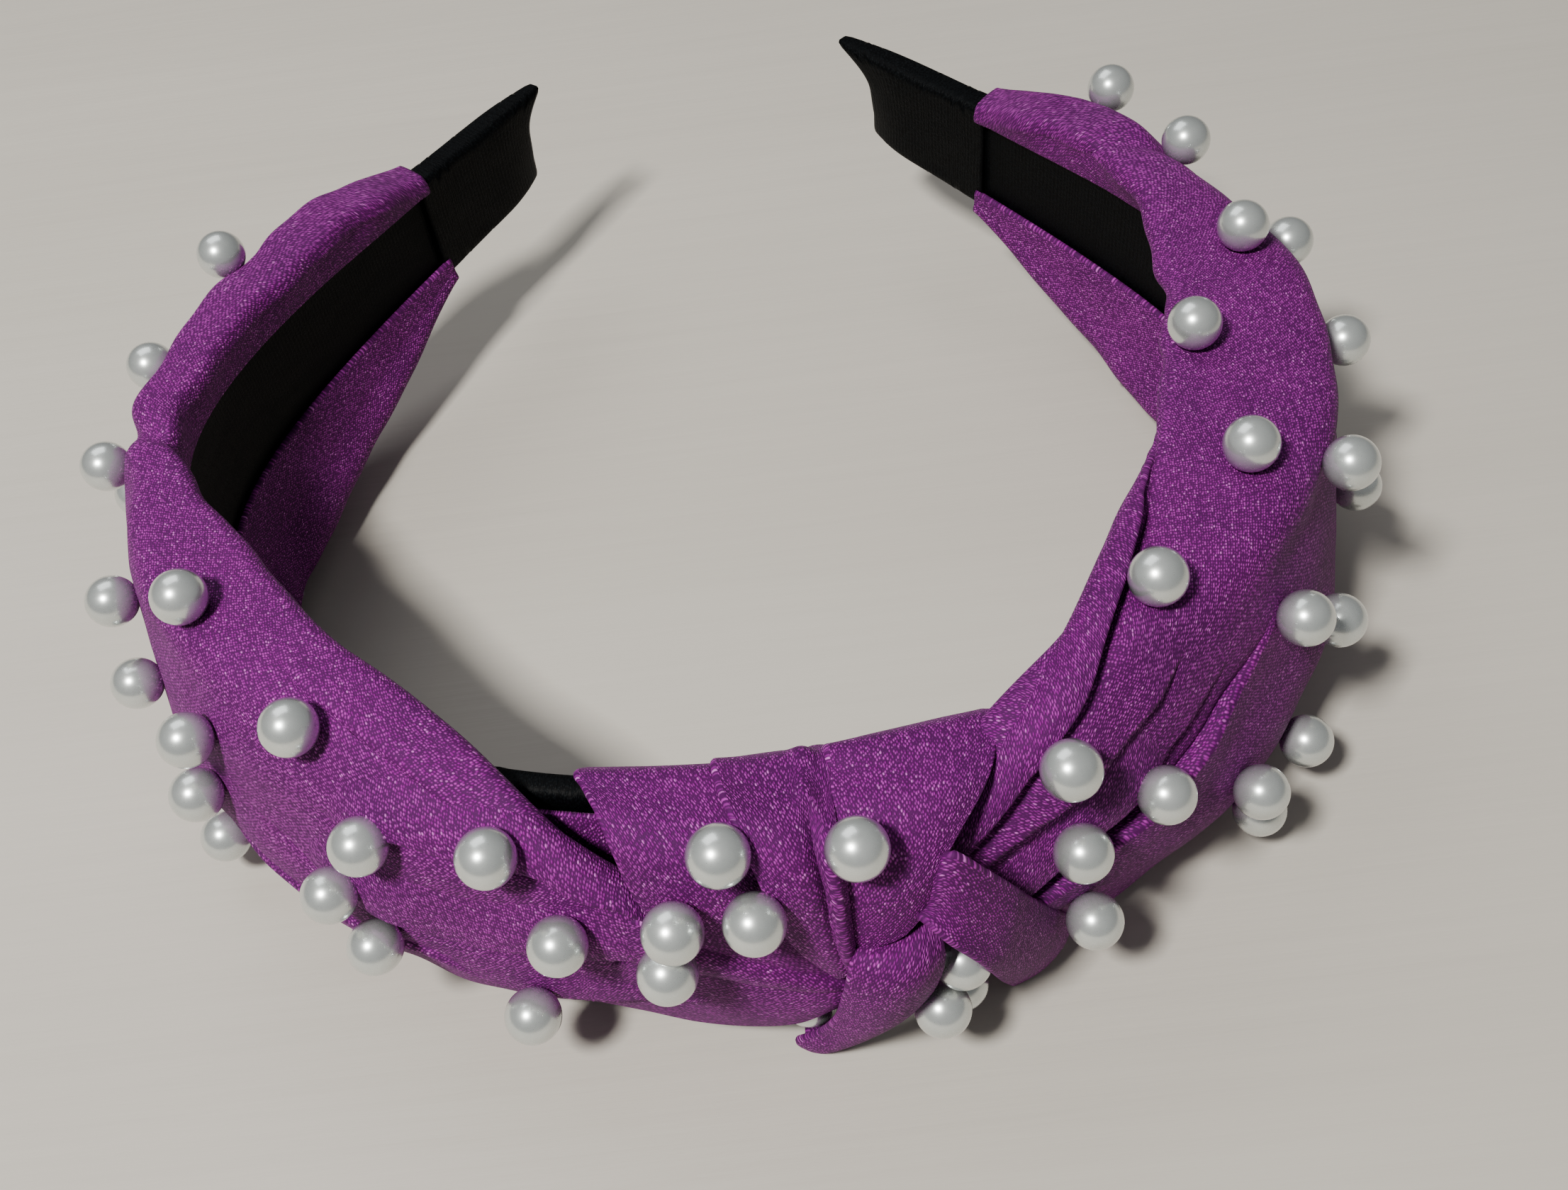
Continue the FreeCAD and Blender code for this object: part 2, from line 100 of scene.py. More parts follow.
def place(s, n, z):
    """Row-frame points, in metres, of (s, n, z) in millimetres."""
    s, n, z = np.broadcast_arrays(np.asarray(s, float), np.asarray(n, float), np.asarray(z, float))
    spot, out, _ = hoop_frame(s)
    flat = spot + out * n[..., None]
    return (np.concatenate((flat, z[..., None]), -1) + ORIGIN) * MM


def band_half(s):
    """Half width of the band at each s."""
    runs, widths = zip(*BAND_WIDTH)
    return np.interp(np.abs(s), runs, widths) / 2


def catmull(points, samples):
    """Catmull-Rom curve through points (..., count, dims), at evenly spaced parameters."""
    count = points.shape[-2]
    u = np.linspace(0, count - 1, samples)
    i = np.minimum(u.astype(int), count - 2)
    t = (u - i)[:, None]
    def pick(k):
        return np.take(points, np.clip(i + k, 0, count - 1), axis=-2)
    a, b, c, d = pick(-1), pick(0), pick(1), pick(2)
    return 0.5 * (2 * b + (c - a) * t + (2 * a - 5 * b + 4 * c - d) * t * t
                  + (3 * b - a - 3 * c + d) * t ** 3)


def sample(goal, lengths, line):
    """Points of a line, or of what it carries, at the goal lengths."""
    return np.stack([np.interp(goal, lengths, column) for column in line.T], -1)


def even(curve, count):
    """The same curve at even steps of its length, with the length so far at each point."""
    lengths = lengths_along(curve)
    goal = np.linspace(0, lengths[-1], count)
    return sample(goal, lengths, curve), goal


def ramp(x, low, high):
    """0 below low, 1 above high, smooth between."""
    t = np.clip((x - low) / (high - low), 0, 1)
    return t * t * (3 - 2 * t)


def smooth_columns(table, s, width):
    """Columns of a table at each s, rounded off over a width."""
    table = np.array(table, float)
    grid = np.arange(table[0, 0] - 4 * width, table[-1, 0] + 4 * width, 0.5)
    reach = np.arange(-3 * width, 3 * width + 0.5, 0.5)
    kernel = np.exp(-0.5 * (reach / width) ** 2)
    kernel /= kernel.sum()
    columns = []
    for values in table[:, 1:].T:
        raw = np.interp(grid, table[:, 0], values)
        pad = len(kernel) // 2
        rounded = np.convolve(np.pad(raw, pad, mode="edge"), kernel, "valid")[:len(grid)]
        columns.append(np.interp(s, grid, rounded))
    return columns


# ---- the wings' sections ----
# s, how far out the foot, belly and shoulder stand, the crest's n and height, how far in the
# rolled hem leans, the height of the lower edge, how far in the lower flap bulges, and the n of
# the upper hem's end with its height over the band's top edge.
LEFT_WING = (
    (4, 9.6, 11.0, 11.4, 11.6, 27.0, 10.8, 9.0, 3.0, 9.5, -11.0),
    (8, 9.4, 11.0, 11.4, 11.0, 30.0, 9.8, 7.0, 3.0, 8.5, -9.0),
    (12, 9.2, 10.8, 11.0, 9.9, 33.0, 8.2, 4.5, 3.0, 7.2, -6.0),
    (16, 9.0, 10.6, 10.4, 8.4, 36.4, 6.8, 3.0, 2.5, 5.8, -4.0),
    (20, 8.9, 10.4, 9.9, 6.0, 39.2, 4.3, 2.0, 2.2, 4.0, -2.0),
    (24, 8.7, 10.3, 9.2, 3.2, 40.8, 1.7, 1.3, 1.0, 2.4, 1.2),
    (28, 8.6, 10.2, 8.6, 1.2, 41.6, -0.9, 0.9, -1.0, -0.9, 1.7),
    (34, 8.5, 10.3, 7.8, -1.2, 42.0, -3.5, 0.7, -2.2, -2.1, 0.0),
    (40, 8.3, 10.3, 7.0, -3.0, 42.0, -5.2, 0.6, -2.2, -2.1, -1.0),
    (60, 7.0, 9.0, 5.0, -6.0, 41.0, -8.2, 0.6, -2.6, -2.1, -1.4),
    (74, 6.2, 8.0, 4.2, -6.0, 40.4, -8.2, 0.6, -3.2, -2.1, -1.4),
    (84, 6.0, 7.5, 4.5, -3.6, 40.2, -5.4, 0.6, -4.4, -2.1, -1.4),
    (92, 6.0, 7.5, 5.0, -0.8, 39.9, -2.7, 0.7, -5.6, -2.0, -1.4),
    (100, 6.0, 7.4, 5.8, 1.4, 39.4, -2.2, 0.9, -6.6, -2.0, -1.2),
    (112, 5.9, 7.0, 6.0, 2.0, 39.0, -2.4, 1.5, -6.8, -2.0, -1.2),
    (128, 5.1, 6.4, 6.4, 3.0, 38.8, -2.6, 4.5, -5.0, -2.0, -1.2),
    (143, 3.9, 5.2, 5.8, 3.0, 37.6, -2.4, 10.5, -3.0, -2.0, -1.1),
    (152, 2.6, 2.9, 3.0, 1.2, 33.8, -2.1, 15.8, -2.1, -2.0, -0.7),
)
RIGHT_WING = (
    (10, 8.4, 9.8, 9.6, 8.6, 31.0, 7.6, 8.0, 3.0, 7.4, -7.0),
    (14, 8.6, 10.0, 9.4, 6.8, 34.6, 5.6, 5.0, 3.0, 4.6, -3.0),
    (18, 8.7, 10.0, 9.0, 4.6, 37.6, 2.8, 3.0, 2.4, 2.6, -0.4),
    (22, 8.7, 10.0, 8.6, 2.6, 39.8, 0.8, 1.8, 1.6, 1.4, 1.2),
    (27, 8.6, 10.0, 8.4, 1.6, 42.0, -0.6, 1.0, -0.8, -1.0, 1.6),
    (33, 8.5, 10.2, 7.4, -0.4, 42.0, -2.6, 0.7, -2.2, -2.1, 0.0),
    (40, 8.4, 10.4, 6.4, -3.0, 42.0, -5.2, 0.6, -2.2, -2.1, -1.0),
    (50, 8.0, 10.2, 5.4, -6.8, 41.6, -9.3, 0.6, -2.2, -2.1, -1.4),
    (60, 7.2, 9.3, 4.2, -9.8, 41.0, -12.4, 0.6, -2.2, -2.1, -1.4),
    (76, 5.5, 7.0, 3.4, -12.2, 40.2, -15.0, 0.6, -2.4, -2.1, -1.4),
    (90, 5.0, 6.4, 3.6, -12.0, 39.7, -14.6, 0.8, -3.2, -2.1, -1.4),
    (104, 5.0, 6.4, 4.6, -9.4, 39.4, -12.4, 1.2, -5.0, -2.1, -1.4),
    (114, 5.0, 6.6, 5.4, -5.6, 39.2, -9.0, 1.6, -6.2, -2.1, -1.4),
    (122, 5.2, 6.6, 6.2, -0.6, 39.2, -4.6, 2.4, -5.2, -2.0, -1.4),
    (128, 5.0, 6.5, 6.5, 2.2, 39.1, -2.9, 3.6, -3.9, -2.0, -1.2),
    (136, 4.6, 5.9, 6.2, 3.0, 38.4, -2.6, 6.8, -3.0, -2.0, -1.2),
    (144, 3.8, 4.9, 5.4, 2.8, 37.0, -2.4, 11.0, -2.6, -2.0, -1.1),
    (152, 2.6, 2.9, 3.0, 1.2, 33.8, -2.1, 15.8, -2.1, -2.0, -0.7),
)
HEM_EDGE = SLEEVE_HALF + 0.62
SECTION_SAMPLES = 360
TABLE_SPREAD = 2.5              # how far the tables' rows are rounded off along s


def wing_sections(table, s):
    """(n, z) and length along each section at every s, from the lower hem round to the upper hem."""
    columns = smooth_columns(table, s, TABLE_SPREAD)
    foot, belly, shoulder, crest_n, crest_z, roll, low, low_in, hem_n, hem_over = columns
    half = band_half(s)
    top = BAND_HEIGHT + half
    hem_z = top + hem_over
    hem_low = BAND_HEIGHT - half + 1.5
    rise = crest_z - low
    behind = ramp(hem_n, -HEM_EDGE, 6.0)          # 1 where the sheet stands in front of the band
    inner = -HEM_EDGE + behind * (HEM_EDGE * 2 + 3.0)
    corner_n = np.maximum(0.5 * (shoulder + crest_n), np.minimum(crest_n + 1.6, HEM_EDGE + 9 * behind))
    corner_n = np.maximum(corner_n, np.where(crest_n < 2.2, HEM_EDGE - 0.2, corner_n))
    corner_z = 0.5 * (np.maximum(top, crest_z - 3.4) + crest_z)
    corner_z = corner_z * (1 - behind) + (low + 0.93 * rise) * behind
    roll_z = np.maximum(crest_z - 2.4, hem_z + 0.4)
    points = (
        (inner, hem_low + 2 * behind),
        (inner + 0.45 * (low_in - inner), low + 0.62 * (hem_low - low)),
        (low_in, low + 0.24 * (hem_low - low)),
        (0.35 * foot - 0.4 + 0.4 * np.minimum(low_in + 2, 0), low + 0.3),
        (0.88 * foot, low + 0.4 + 0.05 * rise),
        (belly, low + 0.33 * rise),
        (0.5 * (belly + shoulder) + 0.4, low + 0.57 * rise),
        (shoulder, low + 0.8 * rise),
        (corner_n, corner_z),
        (crest_n, crest_z - 0.4),
        (0.2 * crest_n + 0.8 * roll, crest_z - 0.7),
        (roll, roll_z + 0.4),
        (0.8 * roll + 0.2 * hem_n, roll_z - 0.5),
        (0.4 * roll + 0.6 * hem_n, 0.5 * (roll_z + hem_z) - 0.3),
        (hem_n, hem_z),
    )
    control = np.stack([np.stack(point, -1) for point in points], -2)
    curves = catmull(control, SECTION_SAMPLES)
    sections, lengths = zip(*(even(curve, SECTION_SAMPLES) for curve in curves))
    return np.array(sections), np.array(lengths)


# ---- folds in the wings ----
# Each fold: its line as (s, share of the section's length), then how high the lip stands, how far
# it fades, how deep the crease beside it goes, how far the lip leans over the crease, and which
# way the lip lies from the crease (+1 towards the upper hem).
LEFT_FOLDS = (
    (((46, .68), (38, .71), (34, .75), (26, .815), (22, .85), (16, .88), (11, .90)), .1, 3.0, 2.2, 0, 1),
    (((56, .57), (46, .56), (40, .55), (34, .56), (26, .60), (20, .67), (12, .75), (6, .78)),
     .1, 4.0, 2.2, 0, 1),
    (((36, .45), (30, .44), (24, .46), (18, .50), (12, .56), (6, .60)), 1.2, 4.0, 1.2, 1.2, 1),
    (((58, .84), (46, .83), (38, .835), (30, .86)), .3, 4.0, .35, .1, 1),
    (((70, .40), (56, .42), (44, .45), (34, .47)), .4, 5.0, .3, .2, -1),
)
RIGHT_FOLDS = (
    (((80, .86), (60, .86), (51, .865), (44, .88), (38, .88), (33, .87), (30, .86), (26, .86), (21, .84),
      (13, .83)), .1, 2.2, 2.0, 0, 1),
    (((29, .85), (26, .84), (20, .82), (14, .80)), .9, 2.0, 1.4, 1.0, 1),
    (((35, .76), (26, .78), (21, .775), (16, .77), (12, .77)), 1.5, 3.0, 2.6, 1.7, 1),
    (((44, .75), (34, .762), (29, .77)), .8, 3.0, 1.0, .7, 1),
    (((50, .66), (36, .65), (33, .65), (29, .64), (25, .62), (20, .60), (12, .60)), .1, 4.0, 2.4, 0, 1),
    (((58, .61), (46, .60), (40, .585), (33, .57), (26, .555), (20, .54), (12, .54)), 1.7, 4.5, 2.4, 1.5, -1),
)
# Layers of the cloth folded over the wing below: the line of the layer's edge as (s, share), how
# wide the layer is as a share, then the s at which it starts to rise, is clear, starts to sink
# and is gone.
LEFT_LAYERS = (
    ("upper", ((48, .67), (44, .685), (38, .71), (34, .75), (26, .815), (22, .85), (16, .88), (7, .91)),
     .12, (7, 13, 34, 46)),
    ("middle", ((54, .57), (46, .56), (40, .55), (34, .56), (26, .60), (20, .67), (12, .75), (7, .78)),
     .17, (7, 12, 36, 52)),
)
RIGHT_LAYERS = (
    ("upper", ((72, .865), (60, .86), (51, .865), (44, .88), (38, .88), (33, .87), (30, .86), (26, .86),
               (21, .84), (13, .83)), .10, (12, 17, 48, 68)),
    ("middle", ((46, .66), (36, .65), (33, .65), (29, .64), (25, .62), (20, .60), (12, .60)),
     .15, (12, 17, 30, 43)),
)
LAYER_LIFT = 1.35               # how far a layer's edge stands over the wing, and how far
LAYER_SUNK = -0.75              # under its surface the layer's other side runs
# Creases across the rolled hem: s, the share it is deepest at, how far it runs to each side, how
# deep and how wide it is, in millimetres, and how far s shifts along it.
LEFT_TUCKS = (
    (97.0, .86, .10, 1.6, 2.0, -40.0), (128.0, .84, .07, .5, 2.6, 20.0), (141.0, .83, .06, .5, 2.2, -20.0),
)
RIGHT_TUCKS = ((127.0, .84, .10, 1.2, 2.2, 50.0), (139.0, .85, .06, .5, 2.2, -20.0))
# Ripples: height, wave along s with its start, wave across with its start.
RIPPLES = ((.16, 24, 0.3, 31, 1.1), (.08, 13, 1.9, 19, .2), (.05, 8.5, .6, 27, 2.3), (.10, 34, 2.2, 13, 1.7))


def fold_relief(folds, s, lengths):
    """How far each point of the sections moves out, and along the section, for the folds."""
    out = np.zeros_like(lengths)
    slide = np.zeros_like(lengths)
    for line, lift, fade, depth, lean, way in folds:
        far, near = line[0][0], line[-1][0]
        runs, shares = zip(*line[::-1])
        share = np.interp(s, runs, shares)
        strength = ramp(-s, -far, -far + 0.45 * (far - near)) * ramp(s, near - 6, near)
        strength = strength[:, None]
        d = (lengths - share[:, None] * lengths[:, -1:]) * way
        lip = ramp(d, -0.35, 0.75)
        out += strength * lift * lip * np.exp(-(np.maximum(d, 0) / fade) ** 1.4)
        out -= strength * depth * (1 - lip) * np.exp(np.minimum(d, 0) / 1.3)
        slide -= way * strength * lean * np.exp(-((d - 0.8) / 1.1) ** 2)
    return out, slide


def tuck_relief(tucks, s, share):
    """How far the rolled hem sinks at the creases across it."""
    sunk = np.zeros_like(share)
    for run, middle, spread, depth, width, shift in tucks:
        away = s[:, None] - run - shift * (share - middle)
        sunk += depth * np.exp(-(away / width) ** 2) * np.exp(-((share - middle) / spread) ** 2)
    return sunk


def ripple(s, lengths):
    """Slight unevenness of the stretched cloth."""
    total = np.zeros_like(lengths)
    for height, wave_s, start_s, wave_v, start_v in RIPPLES:
        phase = 2 * np.pi * s[:, None] / wave_s + start_s + 2 * np.pi * lengths / wave_v + start_v
        total += height * np.sin(phase)
    return total


# ---- meshes ----
def grid_normals(points):
    """Unit normals of a grid of points, rows by columns."""
    across = np.gradient(points, axis=1)
    down = np.gradient(points, axis=0)
    normals = np.cross(down, across)
    return normals / (np.linalg.norm(normals, axis=-1, keepdims=True) + 1e-12)


RIM_ANGLES = np.radians((25, 65, 90, 115, 155))  # round a sheet's edge, from its face


def thicken(points, normals, thickness):
    """Closed rings round a sheet: its outer face, a rounded edge, its inner face, a rounded edge."""
    half = thickness / 2
    rings = [points + normals * half]
    edges = []
    for edge, inner in ((-1, -2), (0, 1)):
        away = points[:, edge] - points[:, inner]
        away /= np.linalg.norm(away, axis=-1, keepdims=True) + 1e-12
        edges.append(away)
    for angle in RIM_ANGLES:
        way = normals[:, -1] * math.cos(angle) + edges[0] * math.sin(angle)
        rings.append((points[:, -1] + half * way)[:, None])
    rings.append((points - normals * half)[:, ::-1])
    for angle in RIM_ANGLES:
        way = -normals[:, 0] * math.cos(angle) + edges[1] * math.sin(angle)
        rings.append((points[:, 0] + half * way)[:, None])
    return np.concatenate(rings, axis=1)


def turn_out(mesh):
    """A closed mesh's faces all look outward."""
    mesh.calc_loop_triangles()
    spots = np.empty(len(mesh.vertices) * 3)
    mesh.vertices.foreach_get("co", spots)
    corners = np.empty(len(mesh.loop_triangles) * 3, dtype=np.int64)
    mesh.loop_triangles.foreach_get("vertices", corners)
    a, b, c = np.moveaxis(spots.reshape(-1, 3)[corners].reshape(-1, 3, 3), 1, 0)
    if np.einsum("ij,ij->", a, np.cross(b, c)) < 0:
        mesh.flip_normals()


def new_object(name, verts, faces, uvs=None):
    mesh = bpy.data.meshes.new(name)
    mesh.from_pydata([tuple(v) for v in verts], [], faces)
    mesh.validate()
    turn_out(mesh)
    mesh.polygons.foreach_set("use_smooth", [True] * len(mesh.polygons))
    if uvs is not None:
        layer = mesh.uv_layers.new(name="cloth")
        index = np.empty(len(mesh.loops), dtype=np.int64)
        mesh.loops.foreach_get("vertex_index", index)
        layer.data.foreach_set("uv", np.asarray(uvs, float)[index].ravel())
    mesh.update()
    piece = bpy.data.objects.new(name, mesh)
    bpy.context.scene.collection.objects.link(piece)
    return piece


def ring_mesh(name, rings, uvs):
    """Closed tube through rings of points, capped at both ends."""
    rows, around = rings.shape[:2]
    i, j = np.meshgrid(np.arange(rows - 1), np.arange(around), indexing="ij")
    k = (j + 1) % around
    faces = np.stack((i * around + j, (i + 1) * around + j, (i + 1) * around + k, i * around + k), -1)
    faces = faces.reshape(-1, 4).tolist()
    half = around // 2
    for row in (0, rows - 1):
        base = row * around
        end = base + around - 1
        ladder = [(base + m, base + m + 1, end - 1 - m, end - m) for m in range(half - 1)]
        faces += [face if row == 0 else face[::-1] for face in ladder]
    return new_object(name, rings.reshape(-1, 3), faces, uvs.reshape(-1, 2))


def sheet_uvs(rings, along, across):
    """Cloth coordinates in millimetres, the same on both faces."""
    around = rings.shape[1]
    rim = len(RIM_ANGLES)
    far_rim = np.repeat(across[:, -1:], rim, 1)
    near_rim = np.repeat(across[:, :1], rim, 1)
    u = np.concatenate((across, far_rim, across[:, ::-1], near_rim), 1)
    v = np.repeat(along[:, None], around, 1)
    return np.stack((u, v), -1)


def grow(points, rows, columns):
    """Catmull-Rom refinement of a small net of control points, at even steps along each way."""
    net = catmull(points, columns)
    return np.swapaxes(catmull(np.swapaxes(net, 0, 1), rows), 0, 1)


# ---- materials ----
class Nodes:
    """Short hand for building a material's node tree."""

    def __init__(self, name):
        self.material = bpy.data.materials.new(name)
        self.material.use_nodes = True
        self.tree = self.material.node_tree
        self.shader = self.tree.nodes["Principled BSDF"]

    def add(self, kind, settings=None, **inputs):
        node = self.tree.nodes.new(kind)
        for key, value in (settings or {}).items():
            setattr(node, key, value)
        for key, value in inputs.items():
            self.put(node, key, value)
        return node

    def put(self, node, key, value):
        numbered = key[0] == "_" and key[1:].isdigit()
        spot = node.inputs[int(key[1:]) if numbered else key.replace("_", " ")]
        if isinstance(value, bpy.types.NodeSocket):
            self.tree.links.new(value, spot)
        else:
            spot.default_value = value

    def shade(self, **inputs):
        for key, value in inputs.items():
            self.put(self.shader, key, value)

    def math(self, operation, a, b=0.0):
        return self.add("ShaderNodeMath", {"operation": operation}, _0=a, _1=b).outputs[0]

    def vary(self, low, pattern, more):
        """A value that goes up from low by as much as the pattern times more."""
        return self.math("ADD", low, self.math("MULTIPLY", pattern, more))

    def ramp(self, factor, *stops):
        node = self.add("ShaderNodeValToRGB", Fac=factor)
        elements = node.color_ramp.elements
        while len(elements) < len(stops):
            elements.new(0.5)
        for element, (place_on, colour) in zip(elements, stops):
            element.position = place_on
            element.color = colour
        return node.outputs["Color"]

    def mix(self, factor, a, b):
        node = self.add("ShaderNodeMix", {"data_type": "RGBA"})
        self.put(node, "_0", factor)
        self.put(node, "_6", a)
        self.put(node, "_7", b)
        return node.outputs[2]

    def noise(self, vector, scale, detail):
        return self.add("ShaderNodeTexNoise", Vector=vector, Scale=scale, Detail=detail).outputs["Fac"]

    def mapped(self, source, scale, turn=0.0):
        turned = (0, 0, math.radians(turn))
        return self.add("ShaderNodeMapping", Vector=source, Scale=scale, Rotation=turned).outputs[0]

    def bump(self, height, strength, distance):
        return self.add("ShaderNodeBump", Height=height, Strength=strength, Distance=distance).outputs[0]

    def object_space(self):
        return self.add("ShaderNodeTexCoord").outputs["Object"]


def crepe_material():
    """Crepe: short bright threads lying at an angle over a deep ground, with the light each thread catches
    painted into the colour as painted highlights, the brightest as painted sparkle.
    """
    m = Nodes("crepe")
    cloth = m.add("ShaderNodeUVMap", {"uv_map": "cloth"}).outputs[0]
    space = m.object_space()
    warped = m.add("ShaderNodeTexNoise", Vector=cloth, Scale=.9, Detail=2.0).outputs["Color"]
    mixed = m.add("ShaderNodeMix", {"data_type": "VECTOR"}, _0=.08)
    m.put(mixed, "_4", cloth)
    m.put(mixed, "_5", warped)
    threads = m.mapped(mixed.outputs[1], (4.1, 2.5, 1), 34)
    grain = m.add("ShaderNodeTexVoronoi", {"feature": "SMOOTH_F1"}, Vector=threads, Scale=1.0,
                  Smoothness=.2, Randomness=.5)
    cell = m.add("ShaderNodeTexVoronoi", Vector=threads, Scale=1.0, Randomness=.5).outputs["Color"]
    speck = m.add("ShaderNodeSeparateColor", Color=cell).outputs[0]
    tops = m.ramp(grain.outputs["Distance"], (.10, (1, 1, 1, 1)), (.52, (0, 0, 0, 1)))
    fine = m.noise(m.mapped(cloth, (9, 5.2, 1), 34), 1.0, 2.0)
    patch = m.noise(space, 140.0, 3.0)
    ground = m.ramp(patch, (.3, (.052, .0006, .058, 1)), (.7, (.07, .0012, .074, 1)))
    thread = m.ramp(patch, (.3, (.235, .005, .235, 1)), (.7, (.285, .008, .275, 1)))
    bright = m.ramp(speck, (.25, (0, 0, 0, 1)), (.85, (1, 1, 1, 1)))
    colour = m.mix(tops, ground, thread)
    # painted highlight: some thread tops are lightened in the colour as if catching the light
    painted_thread_highlight = m.math("MULTIPLY", bright, tops)
    colour = m.mix(m.math("MULTIPLY", painted_thread_highlight, .48), colour, (.66, .085, .62, 1))
    # painted sparkle: glints on the brightest thread tops, painted into the colour
    painted_sparkle = m.math("MULTIPLY", m.math("GREATER_THAN", speck, .95), tops)
    colour = m.mix(m.math("MULTIPLY", painted_sparkle, .4), colour, (.95, .36, .92, 1))
    height = m.math("ADD", m.math("MULTIPLY", tops, .8), m.math("MULTIPLY", fine, .4))
    rough = m.vary(.72, tops, -.26)
    m.shade(Base_Color=colour, Roughness=rough, Normal=m.bump(height, .8, .00018),
            Sheen_Weight=.06, Sheen_Roughness=.4, Sheen_Tint=(.85, .25, .8, 1), Specular_IOR_Level=.2)
    return m.material


def satin_material():
    """Black woven satin, nearly matt, its ribs only just showing."""
    m = Nodes("satin")
    cloth = m.add("ShaderNodeUVMap", {"uv_map": "cloth"}).outputs[0]
    weave = m.add("ShaderNodeTexVoronoi", Vector=m.mapped(cloth, (3.2, 4.6, 1)), Scale=1.0)
    wave = m.add("ShaderNodeTexWave", {"bands_direction": "Y"}, Vector=cloth, Scale=.5, Distortion=.4,
                 Detail=1.0)
    rib = wave.outputs["Fac"]
    patch = m.noise(m.mapped(cloth, (.5, .08, 1)), 1.0, 4.0)
    knots = m.ramp(weave.outputs["Distance"], (.1, (1, 1, 1, 1)), (.6, (0, 0, 0, 1)))
    base = m.ramp(patch, (.3, (.0005, .0006, .0008, 1)), (.75, (.001, .0012, .0015, 1)))
    colour = m.mix(m.math("MULTIPLY", knots, .45), base, (.006, .008, .0095, 1))
    height = m.math("ADD", m.math("MULTIPLY", rib, .4), m.math("MULTIPLY", knots, .6))
    rough = m.vary(.42, patch, .2)
    m.shade(Base_Color=colour, Roughness=rough, Normal=m.bump(height, .5, .00012), Specular_IOR_Level=.05)
    return m.material


def pearl_material():
    m = Nodes("pearl_coat")
    space = m.object_space()
    soft = m.noise(space, 420.0, 3.0)
    skin = m.noise(space, 2600.0, 2.0)
    edge = m.add("ShaderNodeLayerWeight", Blend=.35).outputs["Facing"]
    colour = m.ramp(soft, (.3, (.59, .63, .61, 1)), (.7, (.67, .705, .685, 1)))
    rough = m.vary(.25, skin, .06)
    metal = m.vary(.68, edge, .28)
    m.shade(Base_Color=colour, Metallic=metal, Roughness=rough, Normal=m.bump(skin, .02, .00003),
            Coat_Weight=1.0, Coat_Roughness=.09, Coat_IOR=1.6)
    return m.material


def metal_material():
    m = Nodes("rivet_steel")
    space = m.object_space()
    wear = m.noise(space, 900.0, 4.0)
    colour = m.ramp(wear, (.35, (.42, .42, .43, 1)), (.7, (.66, .66, .65, 1)))
    m.shade(Base_Color=colour, Metallic=1.0, Roughness=m.vary(.2, wear, .2),
            Normal=m.bump(wear, .1, .00005))
    return m.material


def plastic_material():
    m = Nodes("hoop_moulding")
    space = m.object_space()
    grain = m.noise(space, 1400.0, 3.0)
    colour = m.ramp(grain, (.3, (.016, .016, .018, 1)), (.7, (.03, .03, .033, 1)))
    m.shade(Base_Color=colour, Roughness=m.vary(.4, grain, .15),
            Normal=m.bump(grain, .15, .00004))
    return m.material


def stud_material():
    m = Nodes("stud_acrylic")
    space = m.object_space()
    haze = m.noise(space, 1200.0, 2.0)
    colour = m.ramp(haze, (.3, (.78, .76, .80, 1)), (.7, (.90, .89, .92, 1)))
    m.shade(Base_Color=colour, Roughness=m.vary(.08, haze, .08),
            Transmission_Weight=.55, IOR=1.49, Coat_Weight=.5)
    return m.material


def floor_material():
    m = Nodes("painted_board")
    space = m.object_space()
    brush = m.noise(m.mapped(space, (14, 260, 1), 4), 1.0, 5.0)
    broad = m.noise(m.mapped(space, (4, 22, 1), 4), 1.0, 3.0)
    base = m.ramp(broad, (.3, (.46, .43, .375, 1)), (.7, (.50, .47, .415, 1)))
    colour = m.mix(m.math("MULTIPLY", brush, .18), base, (.55, .52, .465, 1))
    m.shade(Base_Color=colour, Roughness=.62, Normal=m.bump(brush, .35, .0006), Specular_IOR_Level=.3)
    return m.material


CREPE = crepe_material()
SATIN = satin_material()
PEARL = pearl_material()
METAL = metal_material()
PLASTIC = plastic_material()
STUD = stud_material()


def dress(piece, material):
    piece.data.materials.clear()
    piece.data.materials.append(material)


# ---- wings ----
CLOTH = 0.9                     # thickness of the crepe with its backing, in millimetres
ROW_STEP = 0.5
HEM_WAVES = ((.35, 19.0, .4), (.2, 9.3, 1.9))


def wing_points(side, table, folds, tucks):
    """Grid of a wing's outer middle surface in metres, with the run and lengths of its sections."""
    s = np.arange(table[0][0], table[-1][0] + 0.01, ROW_STEP)
    sections, lengths = wing_sections(table, s)
    tangents = np.gradient(sections, axis=1)
    tangents /= np.linalg.norm(tangents, axis=-1, keepdims=True) + 1e-9
    normals = np.stack((tangents[..., 1], -tangents[..., 0]), -1)
    out, slide = fold_relief(folds, s, lengths)
    share = lengths / lengths[:, -1:]
    free = ramp(share, .04, .16) * (1 - ramp(share, .93, .985))
    hem = sum(h * np.sin(2 * np.pi * s / w + p) for h, w, p in HEM_WAVES)
    body = ramp(s, 60, 100)[:, None]
    out = out + ripple(s, lengths) * (1 - ramp(share, .72, .82) * .8) - tuck_relief(tucks, s, share)
    out = out * free
    lean = hem[:, None] * body * ramp(share, .72, .84) * (1 - ramp(share, .93, 1.0))
    moved = sections + normals * out[..., None] + tangents * (slide * free)[..., None]
    moved[..., 0] += lean
    moved[..., 1] = np.maximum(moved[..., 1], CLOTH / 2 + 0.12)
    return s, place(side * s[:, None], moved[..., 0], moved[..., 1]), lengths


